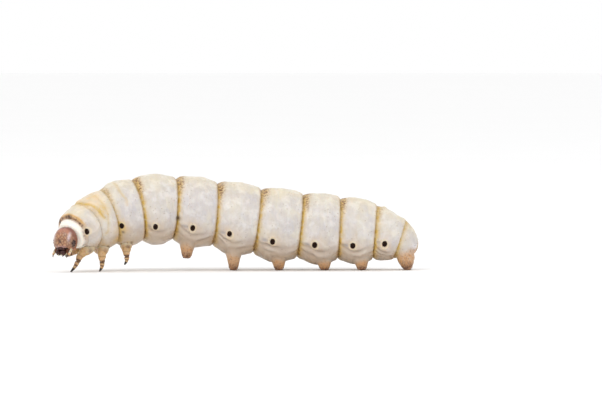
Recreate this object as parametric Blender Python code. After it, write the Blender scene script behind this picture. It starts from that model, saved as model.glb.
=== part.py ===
"""Silkworm, the larva of the domestic silk moth, life size, resting on its feet.

Lengths are in millimetres until they reach a mesh, which is in metres.
The head looks to -X, the animal's left side is to -Y, up is +Z and the floor is z = 0.
The body is a row of lengths along one smooth spine; each border between two lengths is a flat
ring with its own centre, height and turn, and the skin swells between the rings.
"""
import math

import bmesh
import bpy
import numpy as np
from mathutils import Matrix

# Scale and the gaps between neighbouring pieces
MM = 0.001
GAP = 0.25
FINE_GAP = 0.16
CENTRE_Y = -2.72

# Borders along the body: centre x, y, z, half height, turn to the left and nose-down tilt (degrees)
BORDERS = (
    ("head_neck", -17.05, -7.02, 3.38, 1.25, 58.0, 32.0),
    ("neck_thorax", -16.25, -6.02, 3.98, 1.70, 56.0, 32.0),
    ("thorax_1_2", -15.24, -4.98, 4.64, 2.27, 46.0, 24.0),
    ("thorax_2_3", -13.02, -3.48, 5.52, 2.69, 22.0, 16.5),
    ("thorax_abdomen", -10.10, -2.35, 6.13, 2.99, 15.0, 10.5),
    ("abdomen_1_2", -6.35, -1.45, 6.26, 2.94, 9.0, -3.5),
    ("abdomen_2_3", -2.23, -0.90, 5.67, 3.07, 6.0, -4.7),
    ("abdomen_3_4", 2.05, -0.52, 4.97, 3.12, 4.0, -7.5),
    ("abdomen_4_5", 6.40, -0.26, 4.49, 3.12, 3.0, -6.0),
    ("abdomen_5_6", 10.37, -0.10, 4.20, 2.97, 2.0, -2.9),
    ("abdomen_6_7", 14.00, 0.00, 3.93, 2.58, 1.0, -5.0),
    ("abdomen_tail", 16.57, 0.00, 3.08, 1.98, 0.0, -18.0),
    ("tail_end", 18.38, 0.00, 2.46, 1.15, 0.0, -14.0),
)
# Lengths between the borders: swelling at the back, the flank and the belly
LENGTHS = (
    ("neck", 0.02, 0.08, 0.06),
    ("thorax_1", 0.02, 0.26, 0.30),
    ("thorax_2", 0.12, 0.32, 0.45),
    ("thorax_3", 0.36, 0.40, 0.52),
    ("abdomen_1", 0.56, 0.58, 0.70),
    ("abdomen_2", 0.46, 0.60, 0.50),
    ("abdomen_3", 0.48, 0.60, 0.50),
    ("abdomen_4", 0.44, 0.60, 0.60),
    ("abdomen_5", 0.36, 0.55, 0.55),
    ("abdomen_6", 0.43, 0.50, 0.50),
    ("abdomen_7", 0.38, 0.40, 0.22),
    ("tail", 0.00, 0.05, 0.00),
)
WIDTH_RATIO = 0.97
ARCH_POWER = 2.3
RING_POINTS = 36
RING_STEPS = (0.0, 0.07, 0.19, 0.34, 0.50, 0.66, 0.81, 0.93, 1.0)
TAIL_STEPS = (0.0, 0.18, 0.36, 0.54, 0.70, 0.83, 0.92, 0.97, 0.995)
TAIL_ROUNDING = 8

# A low fold along each flank, with a crease above it
FOLD_HEIGHT = 0.10
FOLD_ANGLE = 134.0
CREASE_ANGLE = 124.0
FOLD_SPREAD = 7.0

# The small knob on the back of the seventh abdominal length
KNOB_AT = 10.30
KNOB_HEIGHT = 0.10
KNOB_SPREAD = 0.32

# Head: centre, turn, tilt and half sizes across, front to back and up
HEAD_CENTRE = (-17.17, -7.41, 3.17)
HEAD_TURN = 60.0
HEAD_TILT = -4.0
HEAD_HALF = (1.30, 1.10, 1.42)
MOUTH_TOP = -0.62
MOUTH_HALF_WIDTH = 0.62
MOUTH_BACK = -0.45

# Mouthparts in the head's own directions (left, front, up): centre and half sizes
LABRUM = ((0.0, 0.86, -0.88), (0.50, 0.30, 0.14))
MANDIBLE = ((0.31, 0.80, -1.32), (0.25, 0.36, 0.18))
LABIUM = ((0.0, 0.00, -1.12), (0.38, 0.28, 0.34))
ANTENNA_BASE = (0.86, 0.38, -0.96)
ANTENNA_KNEE = (0.92, 0.72, -1.36)
ANTENNA_TIP = (0.78, 1.02, -1.74)
ANTENNA_RADII = (0.18, 0.15, 0.06)

# Prolegs: place along the body, foot centre x, y, height of the sole, half width of the sole
PROLEG_ANGLE = 156.0
RIGHT_SHIFT = 0.08
RIGHT_LENGTH = 0.74
PROLEGS = (
    (2, 5.36, -5.04, 1.22),
    (3, 6.47, -0.31, 0.0),
    (4, 7.52, 4.29, 0.0),
    (5, 8.62, 8.91, 0.0),
    (6, 9.63, 12.70, 0.0),
)
FOOT_SPREAD = 1.30
ROOT_HALF_LENGTH = 1.12
ROOT_HALF_WIDTH = 0.86
# from the root to the sole: share of the root's height, share of the root's spread, half width
FOOT_PROFILE = (
    (0.86, 0.50, 0.58),
    (0.68, 0.18, 0.55),
    (0.46, 0.05, 0.50),
    (0.25, 0.00, 0.44),
    (0.08, 0.00, 0.38),
    (0.00, 0.00, 0.27),
)

CLASPER_AT = 11.42
CLASPER_ANGLE = 146.0
CLASPER_FOOT = (17.32, 0.80)
CLASPER_PROFILE = (
    (0.80, 0.55, 0.66),
    (0.56, 0.20, 0.62),
    (0.32, 0.05, 0.50),
    (0.12, 0.00, 0.38),
    (0.00, 0.00, 0.24),
)

# Thoracic legs: place, angle from the back, then the leg's path and half widths, then the claw's
LEG_ROOT_HALF = 0.38
LEGS = (
    ("1_left", 1.32, 163.0,
     ((-15.60, -5.62, 1.74), (-15.88, -5.84, 1.16)), (0.35, 0.26),
     ((-15.97, -5.91, 0.99), (-16.28, -6.16, 0.50), (-16.64, -6.42, 0.0)), (0.24, 0.19, 0.09)),
    ("2_left", 2.31, 164.0,
     ((-13.55, -5.00, 1.64), (-13.50, -5.08, 1.10)), (0.36, 0.27),
     ((-13.51, -5.10, 0.89), (-13.60, -5.18, 0.47), (-13.78, -5.28, 0.0)), (0.25, 0.20, 0.09)),
    ("3_left", 3.32, 164.0,
     ((-11.10, -3.88, 2.02), (-11.08, -3.95, 1.60)), (0.38, 0.28),
     ((-11.08, -3.97, 1.43), (-11.14, -4.02, 1.03), (-11.30, -4.10, 0.64)), (0.25, 0.19, 0.09)),
    ("1_right", 1.38, -161.0,
     ((-16.36, -4.86, 2.06), (-16.74, -5.18, 1.80)), (0.33, 0.27),
     ((-16.89, -5.31, 1.70), (-17.18, -5.52, 1.50), (-17.40, -5.70, 1.34)), (0.24, 0.18, 0.09)),
    ("2_right", 2.46, -166.0,
     ((-13.52, -3.86, 1.74), (-13.56, -3.90, 1.16)), (0.34, 0.26),
     ((-13.58, -3.92, 0.97), (-13.64, -3.98, 0.50), (-13.78, -4.06, 0.0)), (0.24, 0.18, 0.09)),
    ("3_right", 3.44, -168.0,
     ((-11.20, -2.72, 2.12), (-11.10, -2.70, 1.70)), (0.34, 0.27),
     ((-11.08, -2.73, 1.46), (-11.12, -2.78, 1.14), (-11.24, -2.86, 0.80)), (0.24, 0.18, 0.09)),
)

# Base colours and roughness
COLOURS = {
    "skin": ((0.80, 0.73, 0.62, 1.0), 0.45),
    "head_shell": ((0.42, 0.22, 0.13, 1.0), 0.30),
    "mouth_horn": ((0.05, 0.02, 0.015, 1.0), 0.30),
    "leg_amber": ((0.52, 0.31, 0.14, 1.0), 0.35),
    "claw_horn": ((0.09, 0.04, 0.02, 1.0), 0.30),
    "foot": ((0.45, 0.25, 0.12, 1.0), 0.50),
}


def spline(place, knots):
    """Natural cubic curve through knots at 0, 1, 2 and so on."""
    knots = np.asarray(knots, float)
    count = len(knots)
    system = np.zeros((count, count))
    right = np.zeros_like(knots)
    system[0, 0] = 1.0
    system[-1, -1] = 1.0
    for i in range(1, count - 1):
        system[i, i - 1:i + 2] = (1.0, 4.0, 1.0)
        right[i] = 6.0 * (knots[i - 1] - 2.0 * knots[i] + knots[i + 1])
    bend = np.linalg.solve(system, right)
    i = np.clip(np.floor(place).astype(int), 0, count - 2)
    t = place - i
    if knots.ndim > 1:
        t = t[..., None]
    s = 1.0 - t
    return s * knots[i] + t * knots[i + 1] + (s ** 3 - s) * bend[i] / 6.0 + (t ** 3 - t) * bend[i + 1] / 6.0


def spine(place):
    """Centre, up and left directions of the body's ring at each place."""
    centre = spline(place, [b[1:4] for b in BORDERS])
    turn = np.radians(spline(place, [b[5] for b in BORDERS]))
    tilt = np.radians(spline(place, [b[6] for b in BORDERS]))
    up = np.stack([-np.sin(tilt) * np.cos(turn), -np.sin(tilt) * np.sin(turn), np.cos(tilt)], -1)
    left = np.stack([np.sin(turn), -np.cos(turn), np.zeros_like(turn)], -1)
    return centre, up, left


def skin(place, angle):
    """Point of the skin at a place along the body and an angle from the back, left side positive."""
    place, angle = np.broadcast_arrays(np.asarray(place, float), np.asarray(angle, float))
    centre, up, left = spine(place)
    half = spline(place, [b[4] for b in BORDERS])
    index = np.clip(np.floor(place).astype(int), 0, len(LENGTHS) - 1)
    t = place - index
    swell = np.array([row[1:] for row in LENGTHS])[index]
    high = np.cos(angle)
    wide = np.sin(angle)
    amount = np.where(high > 0.0, swell[..., 0], swell[..., 2]) * high ** 2 + swell[..., 1] * wide ** 2
    arch = np.sqrt(np.clip(1.0 - np.abs(2.0 * t - 1.0) ** ARCH_POWER, 0.0, 1.0))
    radius = half + amount * arch
    turned = np.degrees(np.abs(np.arctan2(wide, high)))
    folded = np.clip((place - 4.0) * 2.0, 0.0, 1.0) * np.clip((10.8 - place) * 2.0, 0.0, 1.0) * arch
    fold = np.exp(-((turned - FOLD_ANGLE) / FOLD_SPREAD) ** 2)
    crease = np.exp(-((turned - CREASE_ANGLE) / FOLD_SPREAD) ** 2)
    radius = radius + FOLD_HEIGHT * folded * (fold - crease)
    across = np.hypot((place - KNOB_AT) * 2.9, angle * 2.6)
    radius = radius + KNOB_HEIGHT * np.exp(-(across / KNOB_SPREAD) ** 2)
    tail = np.clip(place - (len(LENGTHS) - 1), 0.0, 1.0)
    radius = radius * np.sqrt(np.clip(1.0 - tail ** TAIL_ROUNDING, 0.0, 1.0))
    return centre + up * (radius * high)[..., None] + left * (radius * WIDTH_RATIO * wide)[..., None]


def lifted(place, angle, height):
    """Point that stands a height off the skin, along its outward normal."""
    step = 0.004
    along = skin(place + step, angle) - skin(place - step, angle)
    around = skin(place, angle + step) - skin(place, angle - step)
    normal = np.cross(around, along)
    normal = normal / np.linalg.norm(normal, axis=-1, keepdims=True)
    point = skin(place, angle)
    outward = np.sum(normal * (point - spine(np.asarray(place, float))[0]), -1, keepdims=True)
    return point + normal * np.sign(outward) * height


def ring_angles(count):
    """Angles of a ring's points, one full turn."""
    return np.arange(count) * 2.0 * math.pi / count


def unit(vector):
    """Vector of length one."""
    vector = np.asarray(vector, float)
    return vector / np.linalg.norm(vector)


def collection(name):
    """New collection in the scene."""
    group = bpy.data.collections.new(name)
    bpy.context.scene.collection.children.link(group)
    return group


def material(name):
    """Principled material with its own base colour and roughness."""
    found = bpy.data.materials.get(name)
    if found is None:
        colour, roughness = COLOURS[name]
        found = bpy.data.materials.new(name)
        found.use_nodes = True
        shader = found.node_tree.nodes["Principled BSDF"]
        shader.inputs["Base Color"].default_value = colour
        shader.inputs["Roughness"].default_value = roughness
        found.diffuse_color = colour
    return found


def place_object(name, mesh, group, slot):
    """Object of a finished mesh, in its collection and with its material."""
    if slot:
        mesh.materials.append(material(slot))
    piece = bpy.data.objects.new(name, mesh)
    group.objects.link(piece)
    return piece


def finish_mesh(name, form, smooth=True):
    """Mesh of a closed form, its faces outward, moved so that the whole part is centred, in metres."""
    bmesh.ops.recalc_face_normals(form, faces=form.faces)
    if form.calc_volume(signed=True) < 0.0:
        bmesh.ops.reverse_faces(form, faces=form.faces)
    for vertex in form.verts:
        vertex.co.y -= CENTRE_Y
        vertex.co *= MM
    for face in form.faces:
        face.smooth = smooth
    mesh = bpy.data.meshes.new(name)
    form.to_mesh(mesh)
    form.free()
    return mesh


def loft(name, rings, group, slot):
    """Closed solid through rings of equal point counts; a ring of one point ends it in a tip."""
    form = bmesh.new()
    made = [[form.verts.new(tuple(point)) for point in np.atleast_2d(ring)] for ring in rings]
    for first, second in zip(made[:-1], made[1:]):
        count = max(len(first), len(second))
        for k in range(count):
            n = (k + 1) % count
            if len(first) == 1:
                form.faces.new((first[0], second[k], second[n]))
            elif len(second) == 1:
                form.faces.new((first[k], second[0], first[n]))
            else:
                form.faces.new((first[k], second[k], second[n], first[n]))
    for end in (made[0], made[-1]):
        if len(end) > 2:
            form.faces.new(end)
    return place_object(name, finish_mesh(name, form), group, slot)


def body_length(index, group):
    """One length of the body, its two end faces flat and half a gap inside its borders."""
    name = LENGTHS[index][0]
    angles = ring_angles(RING_POINTS)
    last = index == len(LENGTHS) - 1
    steps = TAIL_STEPS if last else RING_STEPS
    faces = []
    for border in (index, index + 1):
        up, left = spine(np.array([float(border)]))[1:]
        faces.append(unit(np.cross(up[0], left[0])))
    back = [face * math.copysign(1.0, face[0]) for face in faces]
    rings = []
    for t in steps:
        place = min(index + t, index + 1 - 1e-9) if last else index + t
        ring = skin(np.full(RING_POINTS, place), angles)
        ring = ring + back[0] * (GAP / 2.0) * max(0.0, 1.0 - t / 0.45)
        if not last:
            ring = ring - back[1] * (GAP / 2.0) * max(0.0, 1.0 - (1.0 - t) / 0.45)
        rings.append(ring)
    return loft(name, rings, group, "skin")


def root_rings(place, angle, half_length, half_width, count):
    """Rings of a root that follows the skin at the gap, and the directions along and around it."""
    turns = ring_angles(count)
    centre = np.array([float(place)])
    middle = np.array([float(angle)])
    step = 0.01
    along = (skin(centre + step, middle) - skin(centre - step, middle))[0] / (2.0 * step)
    around = (skin(centre, middle + step) - skin(centre, middle - step))[0] / (2.0 * step)
    rings = [lifted(centre, middle, GAP)]
    for part in (0.55, 1.0):
        places = place + part * half_length / np.linalg.norm(along) * np.cos(turns)
        angles = angle + part * half_width / np.linalg.norm(around) * np.sin(turns)
        rings.append(lifted(places, angles, GAP))
    return rings, along, around


def soft_foot(name, root, sole, profile, group, slot, count=14):
    """Soft foot: each line of its side runs from the root's rim down to the level sole."""
    place, angle, half_length, half_width = root
    rings, along, around = root_rings(place, angle, half_length, half_width, count)
    rim = rings[-1]
    turns = ring_angles(count)
    level = np.array((1.0, 1.0, 0.0))
    first = unit(along * level)
    second = around * level
    second = unit(second - first * np.dot(first, second))
    centre = np.array(sole)
    for share, spread, half in profile:
        ring = centre + (rim - centre) * spread
        round_ring = np.cos(turns)[:, None] * first + np.sin(turns)[:, None] * second
        ring = ring + round_ring * half * (1.0 - spread)
        ring[:, 2] = sole[2] + (rim[:, 2] - sole[2]) * share
        rings.append(ring)
    return loft(name, rings, group, slot)


def rooted_leg(name, root, sections, group, slot, count=12):
    """Leg that grows from the skin and follows a path of centres with half widths."""
    place, angle, half_length, half_width = root
    rings, along, around = root_rings(place, angle, half_length, half_width, count)
    turns = ring_angles(count)
    points = [rings[0][0]] + [np.array(section[0]) for section in sections]
    last = len(sections)
    for i in range(1, last + 1):
        ahead = unit(points[min(i + 1, last)] - points[i - 1])
        first = unit(along - ahead * np.dot(along, ahead))
        second = np.cross(ahead, first)
        if np.dot(second, around) < 0.0:
            second = -second
        half = sections[i - 1][1]
        rings.append(points[i] + half * (np.cos(turns)[:, None] * first + np.sin(turns)[:, None] * second))
    return loft(name, rings, group, slot)


def proleg(number, side, place, foot_x, sole, group):
    """Soft proleg: a low cone from the belly to its sole."""
    angle = math.radians(PROLEG_ANGLE) * side
    half_length = ROOT_HALF_LENGTH
    if side < 0:
        place = place + RIGHT_SHIFT
        half_length = ROOT_HALF_LENGTH * RIGHT_LENGTH
    centre_y = spine(np.array([place]))[0][0][1]
    foot = (foot_x, centre_y - FOOT_SPREAD * side, sole)
    name = "proleg_%d_%s" % (number, "left" if side > 0 else "right")
    root = (place, angle, half_length, ROOT_HALF_WIDTH)
    return soft_foot(name, root, foot, FOOT_PROFILE, group, "skin")


def clasper(side, group):
    """Hindmost foot, under the tail."""
    angle = math.radians(CLASPER_ANGLE) * side
    foot = (CLASPER_FOOT[0], -CLASPER_FOOT[1] * side, 0.0)
    name = "clasper_%s" % ("left" if side > 0 else "right")
    root = (CLASPER_AT, angle, 0.72, 0.62)
    return soft_foot(name, root, foot, CLASPER_PROFILE, group, "foot")


def tapered(name, path, radii, group, slot, count=10, flat=True):
    """Round tapered solid along a path; its last face lies level where it meets the floor."""
    path = np.asarray(path, float)
    turns = ring_angles(count)
    rings = []
    side = None
    for i, (point, radius) in enumerate(zip(path, radii)):
        ahead = unit(path[min(i + 1, len(path) - 1)] - path[max(i - 1, 0)])
        if i == len(path) - 1 and flat and point[2] < 1.0e-9:
            ahead = np.array((0.0, 0.0, -1.0))
        if side is None:
            side = unit(np.cross(ahead, (0.0, 1.0, 0.0)))
        side = unit(side - ahead * np.dot(side, ahead))
        other = np.cross(ahead, side)
        rings.append(point + radius * (np.cos(turns)[:, None] * side + np.sin(turns)[:, None] * other))
    if flat and path[-1][2] < 1.0e-9:
        rings[-1][:, 2] = 0.0
    return loft(name, rings, group, slot)


def thoracic_leg(row, group):
    """Jointed leg in two pieces: the fleshy part to the ring, and the horny end with its claw."""
    label, place, angle, path, halves, claw_path, claw_halves = row
    sections = list(zip(path, halves))
    root = (place, math.radians(angle), LEG_ROOT_HALF, LEG_ROOT_HALF * 0.9)
    rooted_leg("leg_%s" % label, root, sections, group, "leg_amber")
    tapered("claw_%s" % label, claw_path, claw_halves, group, "claw_horn")


def head_axes():
    """Left, front and up directions of the head."""
    turn = math.radians(HEAD_TURN)
    tilt = math.radians(HEAD_TILT)
    front = -np.array((math.cos(tilt) * math.cos(turn), math.cos(tilt) * math.sin(turn), math.sin(tilt)))
    left = np.array((math.sin(turn), -math.cos(turn), 0.0))
    up = np.array((-math.sin(tilt) * math.cos(turn), -math.sin(tilt) * math.sin(turn), math.cos(tilt)))
    return left, front, up


def head_place(point):
    """Point in the head's own directions, in the part's directions."""
    left, front, up = head_axes()
    return np.array(HEAD_CENTRE) + left * point[0] + front * point[1] + up * point[2]


def head_matrix(centre, half):
    """Matrix that puts a unit form at a centre, with half sizes, in the head's directions."""
    left, front, up = head_axes()
    middle = head_place(centre)
    matrix = Matrix.Identity(4)
    for column, (axis, size) in enumerate(zip((left, front, up), half)):
        for row in range(3):
            matrix[row][column] = axis[row] * size
    for row in range(3):
        matrix[row][3] = middle[row]
    return matrix


def rounded(name, centre, half, group, slot, squareness=1.0, level=3):
    """Rounded block in the head's directions; squareness under one squares it off."""
    form = bmesh.new()
    bmesh.ops.create_icosphere(form, subdivisions=level, radius=1.0)
    for vertex in form.verts:
        for axis in range(3):
            value = vertex.co[axis]
            vertex.co[axis] = math.copysign(abs(value) ** squareness, value)
    bmesh.ops.transform(form, matrix=head_matrix(centre, half), verts=form.verts)
    return place_object(name, finish_mesh(name, form), group, slot)


def cut(piece, cutter):
    """Piece with the cutter's form taken away, only its largest closed surface kept."""
    step = piece.modifiers.new("cut", "BOOLEAN")
    step.operation = "DIFFERENCE"
    step.solver = "EXACT"
    step.object = cutter
    graph = bpy.context.evaluated_depsgraph_get()
    mesh = bpy.data.meshes.new_from_object(piece.evaluated_get(graph))
    piece.modifiers.clear()
    form = bmesh.new()
    form.from_mesh(mesh)
    bmesh.ops.remove_doubles(form, verts=form.verts, dist=2.0e-6)
    keep_largest(form)
    form.to_mesh(mesh)
    form.free()
    piece.data = mesh
    return piece


def keep_largest(form):
    """Form without any but its largest joined surface."""
    left = set(form.faces)
    groups = []
    while left:
        start = left.pop()
        found = {start}
        queue = [start]
        while queue:
            face = queue.pop()
            for edge in face.edges:
                for other in edge.link_faces:
                    if other in left:
                        left.remove(other)
                        found.add(other)
                        queue.append(other)
        groups.append(found)
    groups.sort(key=len)
    loose = [face for found in groups[:-1] for face in found]
    if loose:
        bmesh.ops.delete(form, geom=loose, context="FACES")


def shape_capsule(form):
    """Two low lobes with a groove between them on top, and a flat brow, on a unit ball."""
    for vertex in form.verts:
        across, front, up = vertex.co
        groove = math.exp(-(across / 0.14) ** 2) * max(0.0, up) ** 0.5
        vertex.co *= 1.0 - 0.05 * groove
        vertex.co.x *= 1.0 + 0.04 * max(0.0, -up)
        vertex.co.y *= 1.0 + 0.06 * max(0.0, front) * max(0.0, -up)


def head(group, cutters):
    """Head capsule with a recess for the mouthparts, and the mouthparts and feelers."""
    form = bmesh.new()
    bmesh.ops.create_icosphere(form, subdivisions=4, radius=1.0)
    shape_capsule(form)
    bmesh.ops.transform(form, matrix=head_matrix((0.0, 0.0, 0.0), HEAD_HALF), verts=form.verts)
    capsule = place_object("head_capsule", finish_mesh("head_capsule", form), group, "head_shell")
    form = bmesh.new()
    bmesh.ops.create_cube(form, size=2.0)
    middle = (0.0, MOUTH_BACK + 1.5, MOUTH_TOP - 1.5)
    matrix = head_matrix(middle, (MOUTH_HALF_WIDTH, 1.5, 1.5))
    bmesh.ops.transform(form, matrix=matrix, verts=form.verts)
    recess = place_object("mouth_recess", finish_mesh("mouth_recess", form, False), cutters, None)
    cut(capsule, recess)
    rounded("labrum", LABRUM[0], LABRUM[1], group, "mouth_horn", 0.8, 2)
    rounded("labium", LABIUM[0], LABIUM[1], group, "head_shell", 0.85, 2)
    for side, word in ((1.0, "left"), (-1.0, "right")):
        centre, half = MANDIBLE
        rounded("mandible_" + word, (centre[0] * side, centre[1], centre[2]), half, group, "mouth_horn", 0.8, 2)
        normal = unit([ANTENNA_BASE[i] / HEAD_HALF[i] ** 2 for i in range(3)])
        start = np.array(ANTENNA_BASE) + normal * (FINE_GAP + 0.12)
        points = [start, start * 0.4 + np.array(ANTENNA_KNEE) * 0.6, np.array(ANTENNA_TIP)]
        path = [head_place((p[0] * side, p[1], p[2])) for p in points]
        tapered("antenna_" + word, path, ANTENNA_RADII, group, "leg_amber", 10, False)


def neck(group, cutters):
    """Soft ring between the head and the first length of the thorax, hollowed for the head."""
    piece = body_length(0, group)
    half = [size + GAP for size in HEAD_HALF]
    ball = rounded("head_clearance", (0.0, 0.0, 0.0), half, cutters, None, 1.0, 4)
    cut(piece, ball)


def clear_scene():
    """Empty scene."""
    for item in list(bpy.data.objects):
        bpy.data.objects.remove(item, do_unlink=True)


def main():
    """Build every piece."""
    clear_scene()
    bpy.context.scene.unit_settings.system = "METRIC"
    group = collection("silkworm")
    cutters = collection("cutters")
    head(group, cutters)
    neck(group, cutters)
    for index in range(1, len(LENGTHS)):
        body_length(index, group)
    for side in (1, -1):
        for number, place, foot_x, sole in PROLEGS:
            proleg(number, side, place, foot_x, sole, group)
        clasper(side, group)
    for row in LEGS:
        thoracic_leg(row, group)
    for item in cutters.objects:
        item.hide_render = True
        item.display_type = "WIRE"


main()
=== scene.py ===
"""Silkworm, the larva of the domestic silk moth, life size, as a still model resting on its feet.

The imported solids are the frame. The skin is one surface over the neck, the thorax, the abdomen, the
tail and the soft feet; the head, its mouthparts, the eyes, the breathing pores, the jointed legs and
the claws are pieces of their own. Lengths are in millimetres until a mesh is made, which is in metres.
The head looks to -X, the animal's left side is to -Y, up is +Z and the floor is z = 0.
"""

import math

import bpy
import numpy as np
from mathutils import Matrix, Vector


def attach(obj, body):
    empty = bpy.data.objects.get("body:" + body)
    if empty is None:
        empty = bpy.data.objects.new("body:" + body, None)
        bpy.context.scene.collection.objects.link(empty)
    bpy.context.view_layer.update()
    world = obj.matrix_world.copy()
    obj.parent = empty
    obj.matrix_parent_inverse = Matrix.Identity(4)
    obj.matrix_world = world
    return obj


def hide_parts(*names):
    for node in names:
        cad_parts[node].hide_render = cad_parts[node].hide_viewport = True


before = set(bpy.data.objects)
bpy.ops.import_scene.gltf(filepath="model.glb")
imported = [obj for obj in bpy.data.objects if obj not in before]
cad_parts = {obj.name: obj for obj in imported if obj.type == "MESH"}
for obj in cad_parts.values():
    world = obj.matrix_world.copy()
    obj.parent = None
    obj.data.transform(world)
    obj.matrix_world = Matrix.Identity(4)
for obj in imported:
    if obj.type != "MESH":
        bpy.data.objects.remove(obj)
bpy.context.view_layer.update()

bl_info = {
    "name": "Silkworm still model",
    "version": (1, 0, 0),
    "blender": (4, 5, 0),
    "location": "3D View > Sidebar > Silkworm",
    "description": "Dresses the solids of a life-size silkworm with skin, head, legs, pores and bristles",
    "category": "Add Mesh",
}

# Sizes shared with the solids
MM = 0.001
CENTRE_Y = -2.72
CAMERA_TARGET = (6.53, 0.72, 6.72)

# A place on the body is the number of a border, from 0 at the head, plus the share of the way on from it.
# Borders along the body: centre x, y, z, half height, turn to the left and nose-down tilt (degrees)
BORDERS = np.array((
    (-17.05, -7.02, 3.38, 1.25, 58.0, 32.0),
    (-16.25, -6.02, 3.98, 1.70, 56.0, 32.0),
    (-15.24, -4.98, 4.64, 2.27, 46.0, 24.0),
    (-13.02, -3.48, 5.52, 2.69, 22.0, 16.5),
    (-10.10, -2.35, 6.13, 2.99, 15.0, 10.5),
    (-6.35, -1.45, 6.26, 2.94, 9.0, -3.5),
    (-2.23, -0.90, 5.67, 3.07, 6.0, -4.7),
    (2.05, -0.52, 4.97, 3.12, 4.0, -7.5),
    (6.40, -0.26, 4.49, 3.12, 3.0, -6.0),
    (10.37, -0.10, 4.20, 2.97, 2.0, -2.9),
    (14.00, 0.00, 3.93, 2.58, 1.0, -5.0),
    (16.57, 0.00, 3.08, 1.98, 0.0, -18.0),
    (18.38, 0.00, 2.28, 1.05, 0.0, -14.0),
))
# Lengths between the borders: swelling at the back, the flank and the belly
SWELLING = np.array((
    (0.02, 0.08, 0.06),
    (0.02, 0.26, 0.30),
    (0.12, 0.32, 0.45),
    (0.36, 0.40, 0.52),
    (0.46, 0.58, 0.70),
    (0.46, 0.60, 0.50),
    (0.48, 0.60, 0.50),
    (0.44, 0.60, 0.60),
    (0.36, 0.55, 0.55),
    (0.32, 0.50, 0.50),
    (0.03, 0.38, 0.22),
    (0.00, 0.05, 0.00),
))
SKIN_NODES = (
    ["neck", "tail", "clasper_left", "clasper_right"]
    + [f"thorax_{number}" for number in range(1, 4)] + [f"abdomen_{number}" for number in range(1, 8)]
    + [f"proleg_{number}_{side}" for number in range(2, 7) for side in ("left", "right")]
)
WIDTH_RATIO = 0.97
ARCH_POWER = 2.15
TAIL_FILL = 0.05
TAIL_ROUNDING = 4.5
KNOB_AT = 10.22
KNOB_HEIGHT = 0.11
KNOB_SPREAD = 0.22

# Soft feet: place along the body, foot centre x, height of the sole
PROLEG_ANGLE = 156.0
RIGHT_SHIFT = 0.08
PROLEGS = (
    (5.36, -5.04, 1.22),
    (6.47, -0.31, 0.0),
    (7.52, 4.29, 0.0),
    (8.62, 8.91, 0.0),
    (9.63, 12.70, 0.0),
)
FOOT_SPREAD = 1.30
LOBE_HEIGHT = 0.42
PROLEG_ROOT = (1.12, 0.86)
# share of the root's radius, share of the height, share of the root's spread, half width
FOOT_PROFILE = np.array((
    (0.00, 0.00, 0.00, 0.00),
    (0.13, 0.00, 0.00, 0.12),
    (0.18, 0.015, 0.00, 0.25),
    (0.24, 0.045, 0.00, 0.36),
    (0.31, 0.10, 0.00, 0.45),
    (0.41, 0.22, 0.00, 0.52),
    (0.55, 0.42, 0.05, 0.57),
    (0.69, 0.64, 0.20, 0.61),
    (0.84, 0.86, 0.52, 0.64),
    (1.00, 1.00, 1.00, 0.66),
))
CLASPER_AT = 11.47
CLASPER_ANGLE = 143.0
CLASPER_FOOT = (17.32, 0.80)
CLASPER_ROOT = (1.02, 0.86)
CLASPER_PROFILE = np.array((
    (0.00, 0.00, 0.00, 0.00),
    (0.18, 0.00, 0.00, 0.25),
    (0.25, 0.03, 0.00, 0.36),
    (0.34, 0.12, 0.02, 0.47),
    (0.48, 0.32, 0.12, 0.60),
    (0.66, 0.56, 0.38, 0.70),
    (0.84, 0.80, 0.72, 0.74),
    (1.00, 1.00, 1.00, 0.76),
))

# Thoracic legs: place, angle from the back, then the leg's path and half widths, then the claw's
LEGS = (
    ("1_left", 1.32, 163.0,
     ((-15.60, -5.62, 1.74), (-15.88, -5.84, 1.16)), (0.35, 0.26),
     ((-15.97, -5.91, 0.99), (-16.28, -6.16, 0.50), (-16.64, -6.42, 0.0)), (0.24, 0.19, 0.09)),
    ("2_left", 2.31, 164.0,
     ((-13.55, -5.00, 1.64), (-13.50, -5.08, 1.10)), (0.36, 0.27),
     ((-13.51, -5.10, 0.89), (-13.60, -5.18, 0.47), (-13.78, -5.28, 0.0)), (0.25, 0.20, 0.09)),
    ("3_left", 3.32, 164.0,
     ((-11.10, -3.88, 2.02), (-11.08, -3.95, 1.60)), (0.38, 0.28),
     ((-11.08, -3.97, 1.43), (-11.14, -4.02, 1.03), (-11.30, -4.10, 0.64)), (0.25, 0.19, 0.09)),
    ("1_right", 1.38, -161.0,
     ((-16.36, -4.86, 2.06), (-16.74, -5.18, 1.80)), (0.33, 0.27),
     ((-16.86, -5.27, 1.72), (-17.04, -5.40, 1.62), (-17.20, -5.50, 1.54)), (0.22, 0.17, 0.09)),
    ("2_right", 2.46, -166.0,
     ((-13.52, -3.86, 1.74), (-13.56, -3.90, 1.16)), (0.34, 0.26),
     ((-13.58, -3.92, 0.97), (-13.64, -3.98, 0.50), (-13.78, -4.06, 0.0)), (0.24, 0.18, 0.09)),
    ("3_right", 3.44, -168.0,
     ((-11.20, -2.72, 2.12), (-11.10, -2.70, 1.70)), (0.34, 0.27),
     ((-11.08, -2.73, 1.46), (-11.12, -2.78, 1.14), (-11.24, -2.86, 0.80)), (0.24, 0.18, 0.09)),
)

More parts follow.
